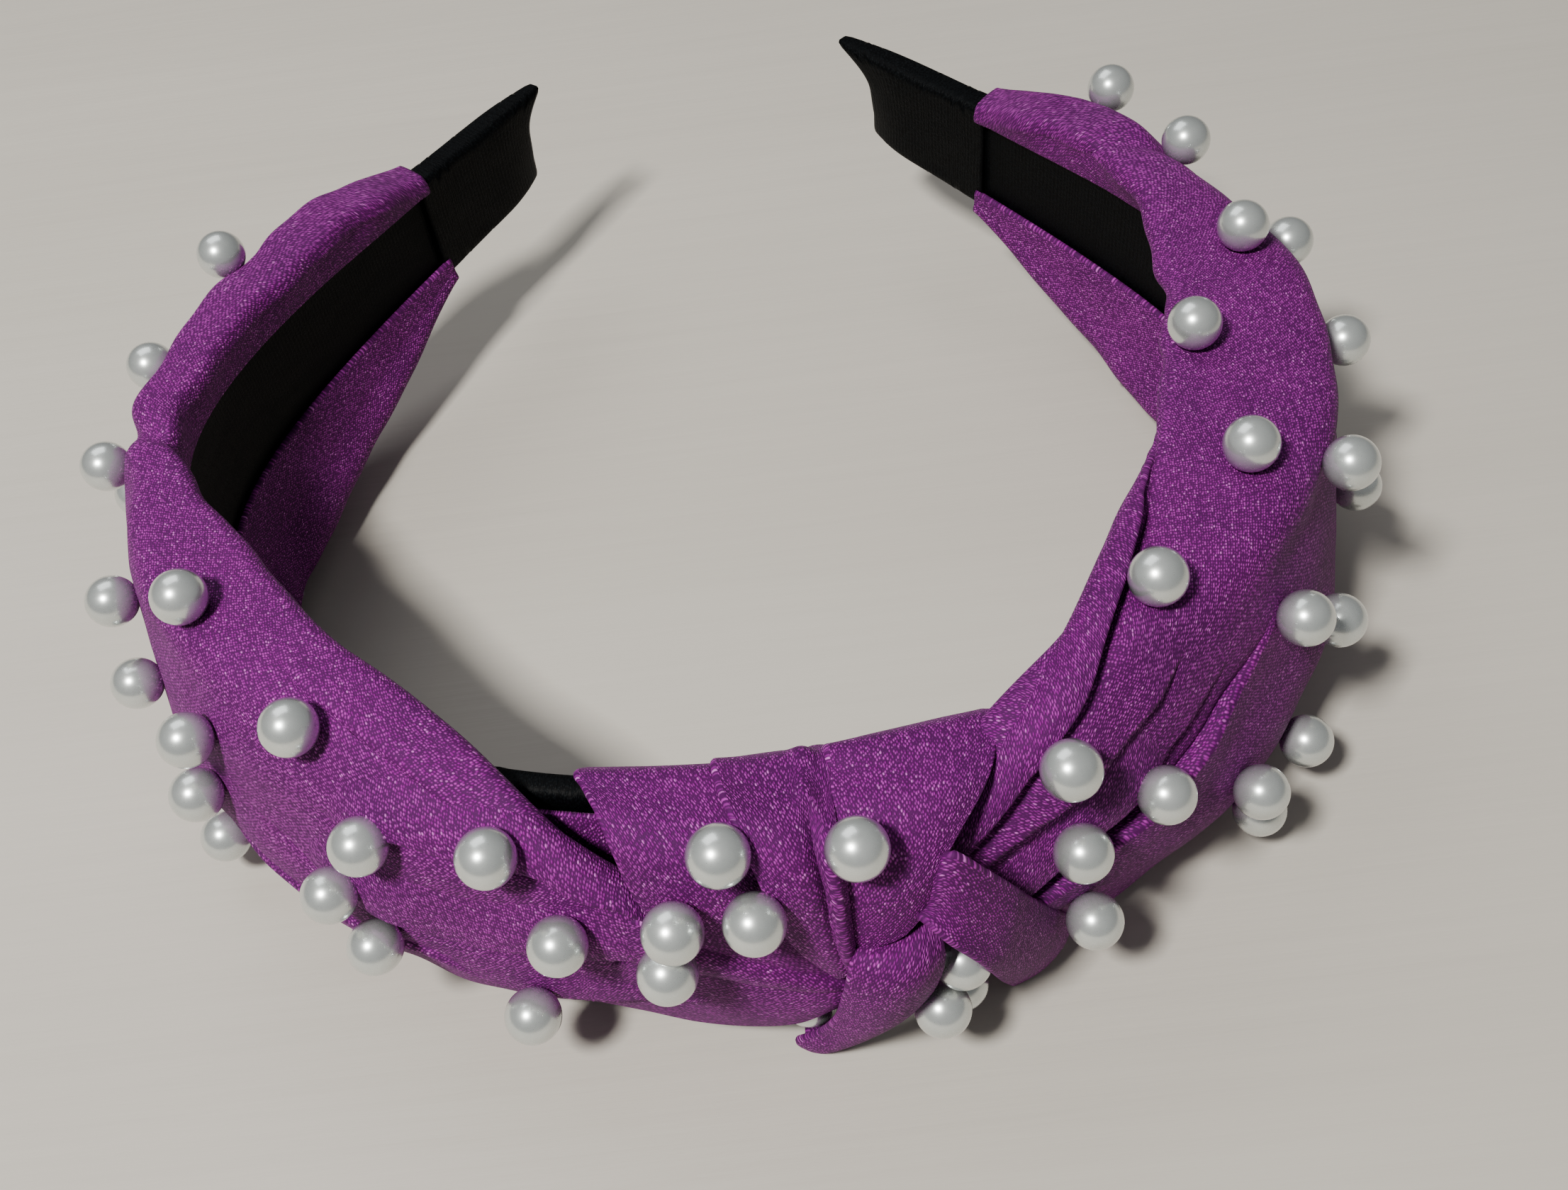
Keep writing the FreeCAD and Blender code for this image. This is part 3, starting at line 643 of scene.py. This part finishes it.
def dimple(points, normals, centres):
    """The sheet sinks a little under each pearl."""
    for centre in centres:
        distance = np.linalg.norm(points - centre, axis=-1)
        foot = np.unravel_index(np.argmin(distance), distance.shape)
        reach = np.linalg.norm(points - points[foot], axis=-1)
        points -= normals * (0.3 * MM * np.exp(-(reach / (2.0 * MM)) ** 2))[..., None]
    return points


def pearl_centres(node):
    """Centres of the beads in a CAD node, one for each of its separate shells."""
    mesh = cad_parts[node].data
    parent = list(range(len(mesh.vertices)))

    def root(a):
        while parent[a] != a:
            parent[a] = parent[parent[a]]
            a = parent[a]
        return a

    lookup = {}
    for vertex in mesh.vertices:
        key = tuple(round(c, 6) for c in vertex.co)
        first = lookup.setdefault(key, vertex.index)
        parent[root(vertex.index)] = root(first)
    for edge in mesh.edges:
        a, b = edge.vertices
        parent[root(a)] = root(b)
    shells = {}
    for vertex in mesh.vertices:
        shells.setdefault(root(vertex.index), []).append(vertex.co)
    centres = []
    for shell in shells.values():
        corners = np.array(shell)
        centres.append((corners.min(0) + corners.max(0)) / 2)
    return sorted(centres, key=lambda c: (round(c[0], 5), round(c[1], 5), round(c[2], 5)))


PEARL_R = 3.0
BORE_R = 0.5


def lathe(profile, around, centre, out, closed=(True, True)):
    """A profile of (radius, height) in millimetres turned round out, its ends closed: points and faces."""
    turn = np.array(Vector((0, 0, 1)).rotation_difference(Vector(out)).to_matrix())
    angles = [2 * math.pi * k / around for k in range(around)]
    ring = [(radius * math.cos(a), radius * math.sin(a), height)
            for radius, height in profile for a in angles]
    last = (len(profile) - 1) * around
    faces = []
    for low in range(0, last, around):
        for k in range(around):
            m = (k + 1) % around
            faces.append((low + k, low + m, low + around + m, low + around + k))
    for base, tip, way in ((0, closed[0], -1), (last, closed[1], 1)):
        if tip is True:
            faces.append(tuple(range(base, base + around))[::way])
            continue
        faces += [(base + k, base + (k + 1) % around, len(ring))[::way] for k in range(around)]
        ring.append((0, 0, tip))
    return np.array(ring) * MM @ turn.T + np.array(centre), faces


def turned_set(name, node, body, material, spots, profile, around, closed=(True, True)):
    """One piece of the same turned shape at each spot."""
    verts, faces = [], []
    for centre, out in spots:
        points, rings = lathe(profile, around, centre, out, closed)
        faces.extend(tuple(len(verts) + index for index in face) for face in rings)
        verts.extend(points)
    piece = new_object(name, verts, faces)
    dress(piece, material)
    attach(piece, body)
    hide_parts(node)
    return piece


BEAD_AROUND = 56


def bead_profile():
    """Half section of a bead, from its bore at the foot up to the top."""
    first = math.asin(BORE_R / PEARL_R)
    angles = np.linspace(first, math.pi, 40)
    ring = [(PEARL_R * math.sin(a), -PEARL_R * math.cos(a)) for a in angles]
    lip = [(BORE_R, -PEARL_R * 0.35), (BORE_R, -PEARL_R * 0.9), (BORE_R * 1.02, -PEARL_R * 0.975)]
    return lip + ring[1:-1]


RIVET_BACK_R = 1.3
RIVET_PIN_R = 0.42
RIVET_PROFILE = ((RIVET_BACK_R, -4.25), (RIVET_BACK_R, -3.9), (RIVET_PIN_R, -3.85), (RIVET_PIN_R, -1.3))
RIVET_AROUND = 20

STUD_R = 0.95
STUD_ROWS = 8
STUD_AROUND = 24
STUD_REACH = 0.006              # how far inside the hem the search for its inner face starts


def stud_head(name, node, body, tree):
    """Half round stud head on the inner face of the hem, where the CAD has it."""
    box = np.array(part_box(node))
    foot, normal, _, _ = tree.find_nearest(Vector(box.mean(0)))
    inward = Vector((-foot[0], -foot[1], 0))
    if normal.dot(inward) < 0:
        foot, normal = tree.ray_cast(foot + inward.normalized() * STUD_REACH, -inward.normalized())[:2]
    tilts = [math.pi / 2 * row / STUD_ROWS for row in range(STUD_ROWS)]
    profile = [(STUD_R * math.cos(tilt), STUD_R * math.sin(tilt)) for tilt in tilts]
    return turned_set(name, node, body, STUD, [(foot, normal)], profile, STUD_AROUND, (True, STUD_R))


def tree_of(*pieces):
    """One search tree over the pieces' faces."""
    verts, faces = [], []
    for piece in pieces:
        base = len(verts)
        verts.extend(v.co.copy() for v in piece.data.vertices)
        faces.extend([base + i for i in polygon.vertices] for polygon in piece.data.polygons)
    return BVHTree.FromPolygons(verts, faces)


SEAT = 0.12                     # how deep a bead sits in the cloth


def seat(name, tree, most):
    """Beads' centres and their stems' directions, each bead moved by up to most mm to rest on the cloth."""
    stems = [Vector(stem) for stem in pearl_centres("rivets_" + name)]
    spots = []
    for centre in pearl_centres("pearls_" + name):
        centre = Vector(centre)
        stem = min(stems, key=lambda spot: (spot - centre).length)
        foot, _, _, gap = tree.find_nearest(centre)
        move = max(-most * MM, min(most * MM, (PEARL_R - SEAT) * MM - gap))
        spots.append((np.array(centre + (centre - foot).normalized() * move), (centre - stem).normalized()))
    return spots


def sheet_piece(name, points, thickness, material, flip, turn=0):
    """Closed sheet of a grid of points, with rounded edges, its weave turned by some degrees."""
    normals = grid_normals(points) * (-1 if flip else 1)
    rings = thicken(points, normals, thickness * MM)
    steps = np.linalg.norm(np.diff(points, axis=1), axis=-1)
    across = np.concatenate((np.zeros((len(points), 1)), np.cumsum(steps, 1)), 1)
    along = lengths_along(points[:, points.shape[1] // 2])
    uvs = sheet_uvs(rings, along / MM, across / MM)
    cos, sin = math.cos(math.radians(turn)), math.sin(math.radians(turn))
    piece = ring_mesh(name, rings, uvs @ np.array(((cos, sin), (-sin, cos))))
    dress(piece, material)
    return piece


FLEX_REACH = 5.0                # how far each side of the hinge the flex line's ends are put, in millimetres; the cloth isn't bent


def across_joint(piece, side):
    """Bakes the piece's transform into its mesh; the flex line's ends either side of the hinge are worked out
    but not used, so nothing bends.
    """
    runs = side * np.array((HINGE_S - FLEX_REACH, HINGE_S + FLEX_REACH))
    start, end = (tuple(spot) for spot in place(runs, 0, BAND_HEIGHT))
    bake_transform(piece)


def wing(name, side, table, folds, tucks, node):
    """A wing's cloth, rolled round the band from the knot to the tip wrap."""
    centres = pearl_centres("pearls_" + node)
    _, points, _ = wing_points(side, table, folds, tucks)
    normals = grid_normals(points) * side
    points = dimple(points, normals, centres)
    piece = sheet_piece(name, points, CLOTH, CREPE, side < 0)
    across_joint(piece, side)
    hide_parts("wing_" + node, "wing_root_" + node)
    return piece


LAYER_COLUMNS = 44
LAYER_THICKNESS = 0.8
LAYER_TURN = 58                 # the weave's direction on a layer, in degrees from the wing's
LAYER_MOST = 0.985              # share of the section that a layer can't pass
EDGE_SPREAD = 13                # rows that a layer's edge line is averaged over


def wing_layer(name, side, table, line, width, clear):
    """Layer of the wing's cloth whose edge lies over the wing and whose other side runs into it."""
    s, points, lengths = wing_points(side, table, (), ())
    normals = grid_normals(points) * side
    runs, shares = zip(*line[::-1])
    keep = (s >= runs[0]) & (s <= runs[-1])
    edge = np.interp(s, runs, shares)
    padded = np.pad(edge, EDGE_SPREAD // 2, mode="edge")
    edge = np.convolve(padded, np.full(EDGE_SPREAD, 1 / EDGE_SPREAD), "valid")
    across = np.linspace(0, 1, LAYER_COLUMNS) ** 1.5
    near, near_full, far_full, far = clear
    clear_of = ramp(s, near, near_full) * (1 - ramp(s, far_full, far))
    rows = []
    for i in np.flatnonzero(keep):
        share = lengths[i] / lengths[i, -1]
        goal = np.minimum(edge[i] + width * across, LAYER_MOST)
        spot = sample(goal, share, points[i])
        normal = sample(goal, share, normals[i])
        lift = LAYER_SUNK + (LAYER_LIFT - LAYER_SUNK) * clear_of[i] * (1 - ramp(across, .12, 1.0))
        rows.append(spot + normal * (lift * MM)[:, None])
    points = np.array(rows)
    piece = sheet_piece(name, points, LAYER_THICKNESS, CREPE, side < 0, LAYER_TURN)
    across_joint(piece, side)
    return piece


# ---- satin cover and tips ----
def rounded_box(half_n, half_z, corner, count=9):
    """Closed outline of a rounded rectangle, as (n, z) about its middle."""
    points = []
    for quarter, (sign_n, sign_z) in enumerate(((1, 1), (-1, 1), (-1, -1), (1, -1))):
        for k in range(count):
            angle = math.radians(90 * quarter + 90 * k / (count - 1))
            points.append((sign_n * (half_n - corner) + corner * math.cos(angle),
                           sign_z * (half_z - corner) + corner * math.sin(angle)))
    return np.array(points)


def refine_ring(ring, step):
    """Add points along a ring's long straight sides."""
    points = []
    for a, b in zip(ring, np.roll(ring, -1, axis=0)):
        count = max(1, int(np.linalg.norm(b - a) / step))
        points += [a + (b - a) * k / count for k in range(count)]
    return np.array(points)


SATIN_THICKNESS = 0.35
SATIN_CORNER = 0.7
SATIN_STEP = 0.8                # between points along the outline's straight sides
SEAM_GAP = 0.25                 # the wrap's two long edges meet this far apart, on the hoop's outer face


def outline_from_seam(half_n, half_z):
    """Open outline of the wrap, as (n, z) about the hoop's middle, from seam to seam."""
    ring = refine_ring(rounded_box(half_n, half_z, SATIN_CORNER), SATIN_STEP)
    start = int(np.argmin(np.abs(ring[:, 1]) + np.where(ring[:, 0] > 0, 0.0, 99.0)))
    ring = np.roll(ring, -start, axis=0)
    ring = np.vstack((ring, ring[:1]))
    ring[0, 1] += SEAM_GAP / 2
    ring[-1, 1] -= SEAM_GAP / 2
    return ring


TIP_LENGTH = 9                  # how much of each end tapers


def sleeve(name, side, start_s, end_s, grow_n, grow_z, step, wrinkle):
    """Satin wrapped round the hoop from one s to another, grown a little past the band each way.

    The wrinkle is its height, its wave along s, how far the end's corner runs on and how far the
    end twists.
    """
    height, wave, corner_run, twist = wrinkle
    s = np.arange(start_s, end_s + 0.01, step)
    rings = []
    for run in s:
        half_n = SLEEVE_HALF + grow_n - SATIN_THICKNESS / 2
        ring = outline_from_seam(half_n, float(band_half(run)) + grow_z)
        if rings and len(ring) != len(rings[0]):
            ring, _ = even(ring, len(rings[0]))
        rings.append(ring)
    rings = np.array(rings)
    count = rings.shape[1]
    runs = np.repeat(s[:, None], count, 1)
    tip_share = np.clip((runs - (TIP_S - TIP_LENGTH)) / TIP_LENGTH, 0, 1)
    upper = rings[..., 1] / np.max(np.abs(rings[..., 1]), axis=1, keepdims=True)
    corner = np.clip((upper - .1) / .9, 0, 1) ** 2.2 + .12 * np.clip((-upper - .5) / .5, 0, 1)
    runs = runs + corner_run * tip_share * (corner - .12)
    bumps = height * np.sin(runs / wave + 0.35 * rings[..., 1]) * np.sin(runs / 7.3 + rings[..., 1] / 5)
    n = rings[..., 0] + np.sign(rings[..., 0]) * bumps * (1 - np.abs(upper) ** 4)
    n = n * (1 - .45 * tip_share ** 2)
    if end_s >= TIP_S:
        n = n * (1 - .75 * np.clip((s - (end_s - 1.2)) / 1.2, 0, 1) ** 2)[:, None]
    n = n - twist * tip_share ** 2 * upper
    points = place(side * runs, n, BAND_HEIGHT + rings[..., 1])
    piece = sheet_piece(name, points, SATIN_THICKNESS, SATIN, side > 0)
    return piece


# ---- the knot ----
# Each strap is a net of control points (s, n, z): rows from its tucked start to its tucked end,
# each row from the strap's left edge to its right edge.
STRAPS = {
    "strap_left": ("knot_left_strap", (
        ((-16.8, -1.9, 36.4), (-13.2, -1.9, 36.7), (-9.4, -1.9, 36.8), (-5.6, -1.9, 36.8), (-2, -1.9, 36.6)),
        ((-16.8, 0.6, 39.9), (-13.2, 0.6, 40.2), (-9.7, 0.6, 40.3), (-6.2, 0.6, 40.2), (-2.8, 0.6, 39.9)),
        ((-15.5, 2.6, 40.6), (-12.1, 3.2, 41), (-8.8, 3.6, 41.1), (-5.6, 3.9, 41), (-2.4, 4, 40.7)),
        ((-13.8, 5.5, 41.5), (-10.7, 6.4, 41.5), (-7.7, 7, 41.3), (-4.8, 7.4, 40.9), (-1.9, 7.6, 40.3)),
        ((-12.2, 8.6, 40.1), (-9.4, 9.4, 39.8), (-6.5, 9.9, 39.4), (-3.8, 10.2, 38.8), (-1.1, 10.2, 38.1)),
        ((-10.9, 10.6, 35.3), (-8.1, 11.2, 35.1), (-5.4, 11.6, 34.7), (-2.7, 11.7, 34.2), (-0, 11.6, 33.4)),
        ((-9.3, 11.6, 31.2), (-6.6, 12.1, 30.6), (-3.9, 12.4, 29.8), (-1.3, 12.4, 28.8), (1.4, 12.2, 27.6)),
        ((-6.4, 12.2, 25.6), (-4, 12.7, 25.4), (-1.7, 12.9, 25.1), (0.7, 13, 24.7), (3, 12.8, 24.1)),
        ((-2, 12.8, 20), (-0.3, 13.1, 20.4), (1.3, 13.2, 20.7), (2.9, 13.2, 20.9), (4.4, 13, 21.1)),
        ((3.7, 13, 17.3), (4.1, 13.1, 17.8), (4.6, 13.2, 18.2), (5.1, 13.2, 18.6), (5.6, 13.2, 19)),
    )),
    "strap_middle": ("knot_middle_strap", (
        ((-3.6, -1.9, 37.4), (-0.3, -1.9, 37.6), (2.6, -1.9, 37.6),
         (4.6, -1.9, 37.2), (6.1, -1.9, 37.6), (7.3, -1.9, 37.2)),
        ((-3.5, 0.6, 41.3), (0.3, 0.9, 41.2), (3, 0.8, 41),
         (4.7, 0.1, 40.8), (6.2, 1.2, 40.5), (7.3, 0.6, 40.3)),
        ((-2.9, 4.2, 43), (0.4, 4.9, 42.5), (2.9, 4.6, 41.9),
         (4.4, 3.2, 41.5), (5.8, 5.2, 41.1), (6.7, 4.3, 40.8)),
        ((-2, 7.6, 44.1), (0.9, 8.5, 43.3), (3, 8.2, 42.6),
         (4.3, 6.4, 42.2), (5.5, 9, 41.7), (6.3, 7.9, 41.3)),
        ((-1, 10.6, 42.7), (1.5, 11.6, 42), (3.2, 11.4, 41.3),
         (4.3, 9.7, 40.9), (5.3, 12.2, 40.5), (6, 11, 40.2)),
        ((-0.1, 12.4, 39.1), (2.1, 13.3, 38.4), (3.6, 13.4, 37.8),
         (4.6, 12.2, 37.3), (5.5, 13.8, 37), (6.1, 12.6, 36.7)),
        ((0.7, 13.4, 33.3), (2.6, 14.1, 32.9), (3.9, 14.3, 32.6),
         (4.7, 13.8, 32.3), (5.5, 14.7, 32.1), (6, 13.7, 31.9)),
        ((2.1, 14, 27.9), (3.5, 14.6, 27.9), (4.4, 14.8, 27.9),
         (5, 14.6, 27.9), (5.6, 15.1, 27.9), (6, 14.5, 27.8)),
        ((4.8, 14.2, 21.5), (5.2, 14.5, 22.3), (5.4, 14.7, 22.9),
         (5.6, 14.7, 23.2), (5.7, 14.8, 23.5), (5.8, 14.8, 23.7)),
    )),
    "strap_right": ("knot_right_strap", (
        ((7, -1.9, 37), (10.8, -1.9, 37.4), (15, -1.9, 37.2), (19.3, -1.8, 36.8), (23.4, -1.4, 36.4)),
        ((7.2, 0.4, 40.7), (11.2, 0.6, 40.6), (15.3, 0.7, 40.2), (19.5, 0.7, 39.5), (23.8, 0.6, 38.3)),
        ((7, 3.2, 40.7), (10.7, 4.2, 40.8), (14.4, 4.6, 40.6), (18.3, 4.4, 40), (22.2, 3.6, 39.1)),
        ((6.8, 6.6, 41.1), (10.1, 7.7, 41.1), (13.5, 8, 40.8), (16.9, 7.6, 40.2), (20.4, 6.4, 39.3)),
        ((6.7, 9.2, 40.3), (9.5, 10.2, 40.2), (12.3, 10.5, 39.9), (15.2, 10, 39.4), (18.1, 8.8, 38.7)),
        ((6.7, 11.2, 37.5), (9, 12.1, 37.8), (11.2, 12.4, 38), (13.5, 12, 38.1), (15.8, 11, 38)),
        ((6.6, 12.6, 33.6), (8.5, 13.4, 34.5), (10.3, 13.7, 35.2), (12.1, 13.5, 35.8), (14, 12.8, 36.4)),
        ((6.5, 13.4, 30.1), (8.1, 14, 30.8), (9.7, 14.3, 31.4), (11.2, 14.2, 31.9), (12.8, 13.8, 32.4)),
        ((6.4, 14, 26.4), (7.4, 14.4, 27.1), (8.4, 14.6, 27.7), (9.5, 14.7, 28.3), (10.5, 14.6, 28.9)),
    )),
    "strap_loop": ("knot_loop", (
        ((7.2, 13.2, 25.8), (8.4, 13.6, 26.3), (9.7, 13.6, 26.7), (11, 13.2, 27.1), (12.2, 12.4, 27.5)),
        ((6.3, 15, 27.2), (7.9, 16, 27.5), (9.5, 16.2, 27.7), (11.2, 15.6, 27.9), (12.8, 14.2, 27.9)),
        ((5.7, 16, 25), (7.5, 17.4, 25.5), (9.4, 17.9, 25.9), (11.3, 17.4, 26.2), (13.1, 15.8, 26.4)),
        ((5, 16, 20.5), (7, 17.6, 21.1), (8.9, 18.1, 21.7), (10.9, 17.6, 22.1), (12.8, 16.2, 22.4)),
        ((4.1, 15.2, 14.1), (6, 16.6, 14.6), (7.8, 17.1, 14.9), (9.7, 16.7, 15.1), (11.6, 15.4, 15.2)),
        ((2.4, 13.6, 7.4), (4, 14.8, 7.7), (5.6, 15.2, 7.9), (7.1, 14.9, 8), (8.7, 14, 8)),
        ((0.2, 12.4, 3.2), (1.4, 13.2, 2.8), (2.7, 13.6, 2.6), (3.9, 13.5, 2.8), (5.4, 13.2, 3)),
        ((0.9, 12, 0.9), (1.7, 12.3, 0.75), (2.6, 12.4, 0.7), (3.4, 12.3, 0.75), (4.4, 12, 0.9)),
        ((1.2, 9.4, 0.8), (2, 9.4, 0.75), (2.7, 9.4, 0.75), (3.4, 9.4, 0.75), (4.2, 9.4, 0.8)),
    )),
    "strap_cross": ("knot_cross_strap", (
        ((14.1, 12, 35.3), (13.3, 12.8, 34.8), (12.5, 13.2, 32.3), (11.7, 13.4, 29.7)),
        ((15.1, 13, 38.2), (14.1, 14, 35.7), (13.3, 14.8, 32.3), (12.1, 15.2, 31.7)),
        ((17.5, 13.6, 34.1), (16.1, 15, 32.7), (14.9, 16.2, 29.9), (13.7, 17, 29.6)),
        ((20.1, 13.5, 28.3), (18.8, 15.2, 27.1), (17.4, 16.6, 24.6), (15.8, 17.6, 25.1)),
        ((21.6, 12.9, 24), (20.4, 14.6, 22.9), (18.9, 16, 20.2), (17.2, 16.8, 20.2)),
        ((24.4, 11.8, 17.2), (23.7, 13, 14.1), (21.8, 13.8, 11.2), (19.1, 14.4, 11.4)),
        ((27.6, 10, 9), (26.7, 10.6, 5), (24.3, 11, 2.1), (21.5, 11, 1)),
    )),
    "strand_upper": ("knot_upper_strand", (
        ((-16, 10.2, 31), (-16, 11.2, 27.5), (-16, 11.0, 24), (-16, 9.8, 22)),
        ((-11, 11.2, 30.5), (-11, 12.4, 27), (-11, 12.2, 24), (-11, 10.8, 22.2)),
        ((-6, 11.8, 28.5), (-6, 13.2, 26), (-6, 13.2, 23.6), (-6, 12, 22.2)),
        ((-1, 12.4, 24.8), (-1, 13.8, 23), (-1, 13.8, 21), (-1, 12.6, 19.6)),
        ((3.2, 12.8, 21.2), (3.2, 14, 20), (3.2, 14, 18.8), (3.2, 13, 17.6)),
        ((6, 13.0, 19.2), (6, 13.7, 18.6), (6, 13.7, 17.8), (6, 13.1, 17.2)),
    )),
    "strand_lower": ("knot_lower_strand", (
        ((-24.2, 8.4, 9.9), (-24.4, 8.6, 8.4), (-24.6, 8.4, 6.9), (-24.8, 7.8, 5.3)),
        ((-17.5, 10.4, 18.5), (-17.9, 10.7, 15.3), (-18.4, 10.3, 11.8), (-18.8, 9.4, 8.4)),
        ((-12.1, 11.6, 23.5), (-12.6, 11.8, 18.8), (-13.2, 11.4, 13.7), (-13.8, 10.2, 8.6)),
        ((-8.1, 12, 23.7), (-8.4, 12.3, 18.5), (-8.6, 11.9, 12.9), (-8.9, 10.8, 7.2)),
        ((-4.1, 12.4, 20.7), (-4, 12.8, 16.4), (-3.9, 12.6, 11.8), (-3.8, 11.6, 7.2)),
        ((0.2, 12.8, 19.2), (0.3, 13.4, 16.1), (0.4, 13.4, 12.8), (0.5, 12.8, 9.5)),
        ((3.7, 13.4, 18.9), (3.8, 13.9, 17.1), (3.8, 14, 15.3), (3.9, 13.6, 13.5)),
        ((6, 13.4, 17.8), (6, 13.7, 16.6), (5.9, 13.7, 15.5), (5.8, 13.4, 14.3)),
    )),
}
INNER_LAYER = (
    ((-28, 1.6, 36.9), (-23, 2.2, 35.4), (-18, 2.3, 35.3), (-10, 2.3, 35.2), (-6, 2.3, 35.2)),
    ((-28, 2.6, 34.6), (-23, 2.9, 33.8), (-18, 2.9, 33.8), (-10, 2.9, 33.8), (-6, 2.9, 33.8)),
    ((-28, 3.0, 30), (-23, 4.0, 29), (-18, 4.2, 29), (-10, 4.2, 29), (-6, 4.0, 29)),
    ((-28, 3.0, 22), (-23, 5.0, 21), (-18, 5.4, 21), (-10, 5.4, 21), (-6, 5.0, 21)),
)
STRAP_THICKNESS = 0.95
STRAP_ROWS = 120
STRAP_COLUMNS = 60


def strap(name, node, rows, thickness=STRAP_THICKNESS):
    """A strap of the knot from its control points, in place of its CAD node where it has one."""
    net = grow(np.array(rows, float), STRAP_ROWS, STRAP_COLUMNS)
    points = place(net[..., 0], net[..., 1], net[..., 2])
    normals = grid_normals(points)
    middle = normals[STRAP_ROWS // 2, STRAP_COLUMNS // 2]
    piece = sheet_piece(name, points, thickness, CREPE, middle[1] > 0)
    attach(piece, "crown")
    if node:
        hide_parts(node)
    return piece


# ---- build ----
CAP_START = 151.0
SMOOTH_WRAP = (0.0, 3.0, 0.0, 0.0)
TIP_WRAPS = {"left": (0.18, 2.3, 3.6, 1.0), "right": (0.18, 2.3, 6.0, 1.0)}
WING_SEAT = 4.0                 # how far a bead may move to meet the cloth, in millimetres
KNOT_SEAT = 0.6
INNER_THICKNESS = 0.7
WINGS = (
    ("left", -1, LEFT_WING, LEFT_FOLDS, LEFT_TUCKS, LEFT_LAYERS),
    ("right", 1, RIGHT_WING, RIGHT_FOLDS, RIGHT_TUCKS, RIGHT_LAYERS),
)


def add_satin(node, side, arm):
    """The satin run on the hoop and the wrap over its tip."""
    run = sleeve("satin_run_" + node, side, 0.0, CAP_START, 0.0, 0.15, 1.0, SMOOTH_WRAP)
    across_joint(run, side)
    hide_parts("satin_" + node, *(["satin_crown"] if side < 0 else []))
    cap = sleeve("tip_wrap_" + node, side, CAP_START, TIP_S, 0.55, 0.6, 0.6, TIP_WRAPS[node])
    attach(cap, arm)
    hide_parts("tip_cap_" + node)


def add_beads(node, body, tree, most):
    spots = seat(node, tree, most)
    profile = bead_profile()
    beads = turned_set("beads_" + node, "pearls_" + node, body, PEARL, spots, profile, BEAD_AROUND,
                       (profile[0][1], PEARL_R))
    turned_set("pins_" + node, "rivets_" + node, body, METAL, spots, RIVET_PROFILE, RIVET_AROUND)


def build():
    cloths = []
    for node, side, table, folds, tucks, layers in WINGS:
        arm = node + "_arm"
        add_satin(node, side, arm)
        cloth = wing("wing_sheet_" + node, side, table, folds, tucks, node)
        cloths.append(cloth)
        for layer, line, width, clear in layers:
            wing_layer("layer_" + node + "_" + layer, side, table, line, width, clear)
        add_beads(node, arm, tree_of(cloth), WING_SEAT)
        stud_head("stud_head_" + node, "stud_" + node, arm, tree_of(cloth))
    straps = [strap(name, node, rows) for name, (node, rows) in STRAPS.items()]
    strap("inner_layer_left", None, INNER_LAYER, INNER_THICKNESS)
    add_beads("knot", "crown", tree_of(*cloths, *straps), KNOT_SEAT)
    for name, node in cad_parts.items():
        if name.startswith("hoop_"):
            dress(node, PLASTIC)


build()


# ---- floor, light and camera ----
FLOOR_HALF = 1.5                # metres


def add_floor():
    corners = [(x * FLOOR_HALF, y * FLOOR_HALF, 0.0) for x, y in ((-1, -1), (1, -1), (1, 1), (-1, 1))]
    floor = new_object("floor", corners, [(0, 1, 2, 3)])
    dress(floor, floor_material())


def add_light(name, spot, size, power, colour):
    light = bpy.data.lights.new(name, "AREA")
    light.shape = "RECTANGLE"
    light.size, light.size_y = size
    light.energy = power
    light.color = colour
    lamp = bpy.data.objects.new(name, light)
    lamp.location = spot
    lamp.rotation_euler = (LIGHT_AIM - Vector(spot)).to_track_quat("-Z", "Y").to_euler()
    bpy.context.scene.collection.objects.link(lamp)


def add_world():
    world = bpy.data.worlds.new("studio")
    world.use_nodes = True
    background = world.node_tree.nodes["Background"]
    background.inputs["Color"].default_value = (.95, .97, 1.0, 1)
    background.inputs["Strength"].default_value = 0.18
    bpy.context.scene.world = world


CAMERA_SPOT = (8.461, -139.733, 176.976)        # millimetres
CAMERA_HEADING = (-0.02897, 0.99958)
CAMERA_DIP = 52.4                               # degrees below level
CAMERA_ROLL = -8.5
CAMERA_LENS = 39.06


def add_camera():
    east = Vector((CAMERA_HEADING[1], -CAMERA_HEADING[0], 0)).normalized()
    dip = math.radians(CAMERA_DIP)
    level = math.cos(dip)
    ahead = Vector((CAMERA_HEADING[0] * level, CAMERA_HEADING[1] * level, -math.sin(dip))).normalized()
    above = east.cross(ahead)
    roll = math.radians(CAMERA_ROLL)
    right = east * math.cos(roll) + above * math.sin(roll)
    up = above * math.cos(roll) - east * math.sin(roll)
    camera = bpy.data.cameras.new("camera")
    camera.lens = CAMERA_LENS
    camera.sensor_width = 36.0
    camera.clip_start = 0.005
    holder = bpy.data.objects.new("camera", camera)
    turn = Matrix((right, up, -ahead)).transposed().to_4x4()
    holder.matrix_world = Matrix.Translation(Vector(CAMERA_SPOT) * MM) @ turn
    bpy.context.scene.collection.objects.link(holder)
    bpy.context.scene.camera = holder


# Name, place and size in metres, power in watts, colour.
LIGHTS = (
    ("key", (-0.25, -0.30, 0.68), (0.11, 0.10), 9.4, (1.0, 0.975, 0.94)),
    ("fill", (-0.25, 0.45, 0.70), (0.6, 0.5), 2.2, (0.97, 0.98, 1.0)),
)
LIGHT_AIM = Vector((0, 0, 0.02))

add_floor()
for lamp in LIGHTS:
    add_light(*lamp)
add_world()
add_camera()
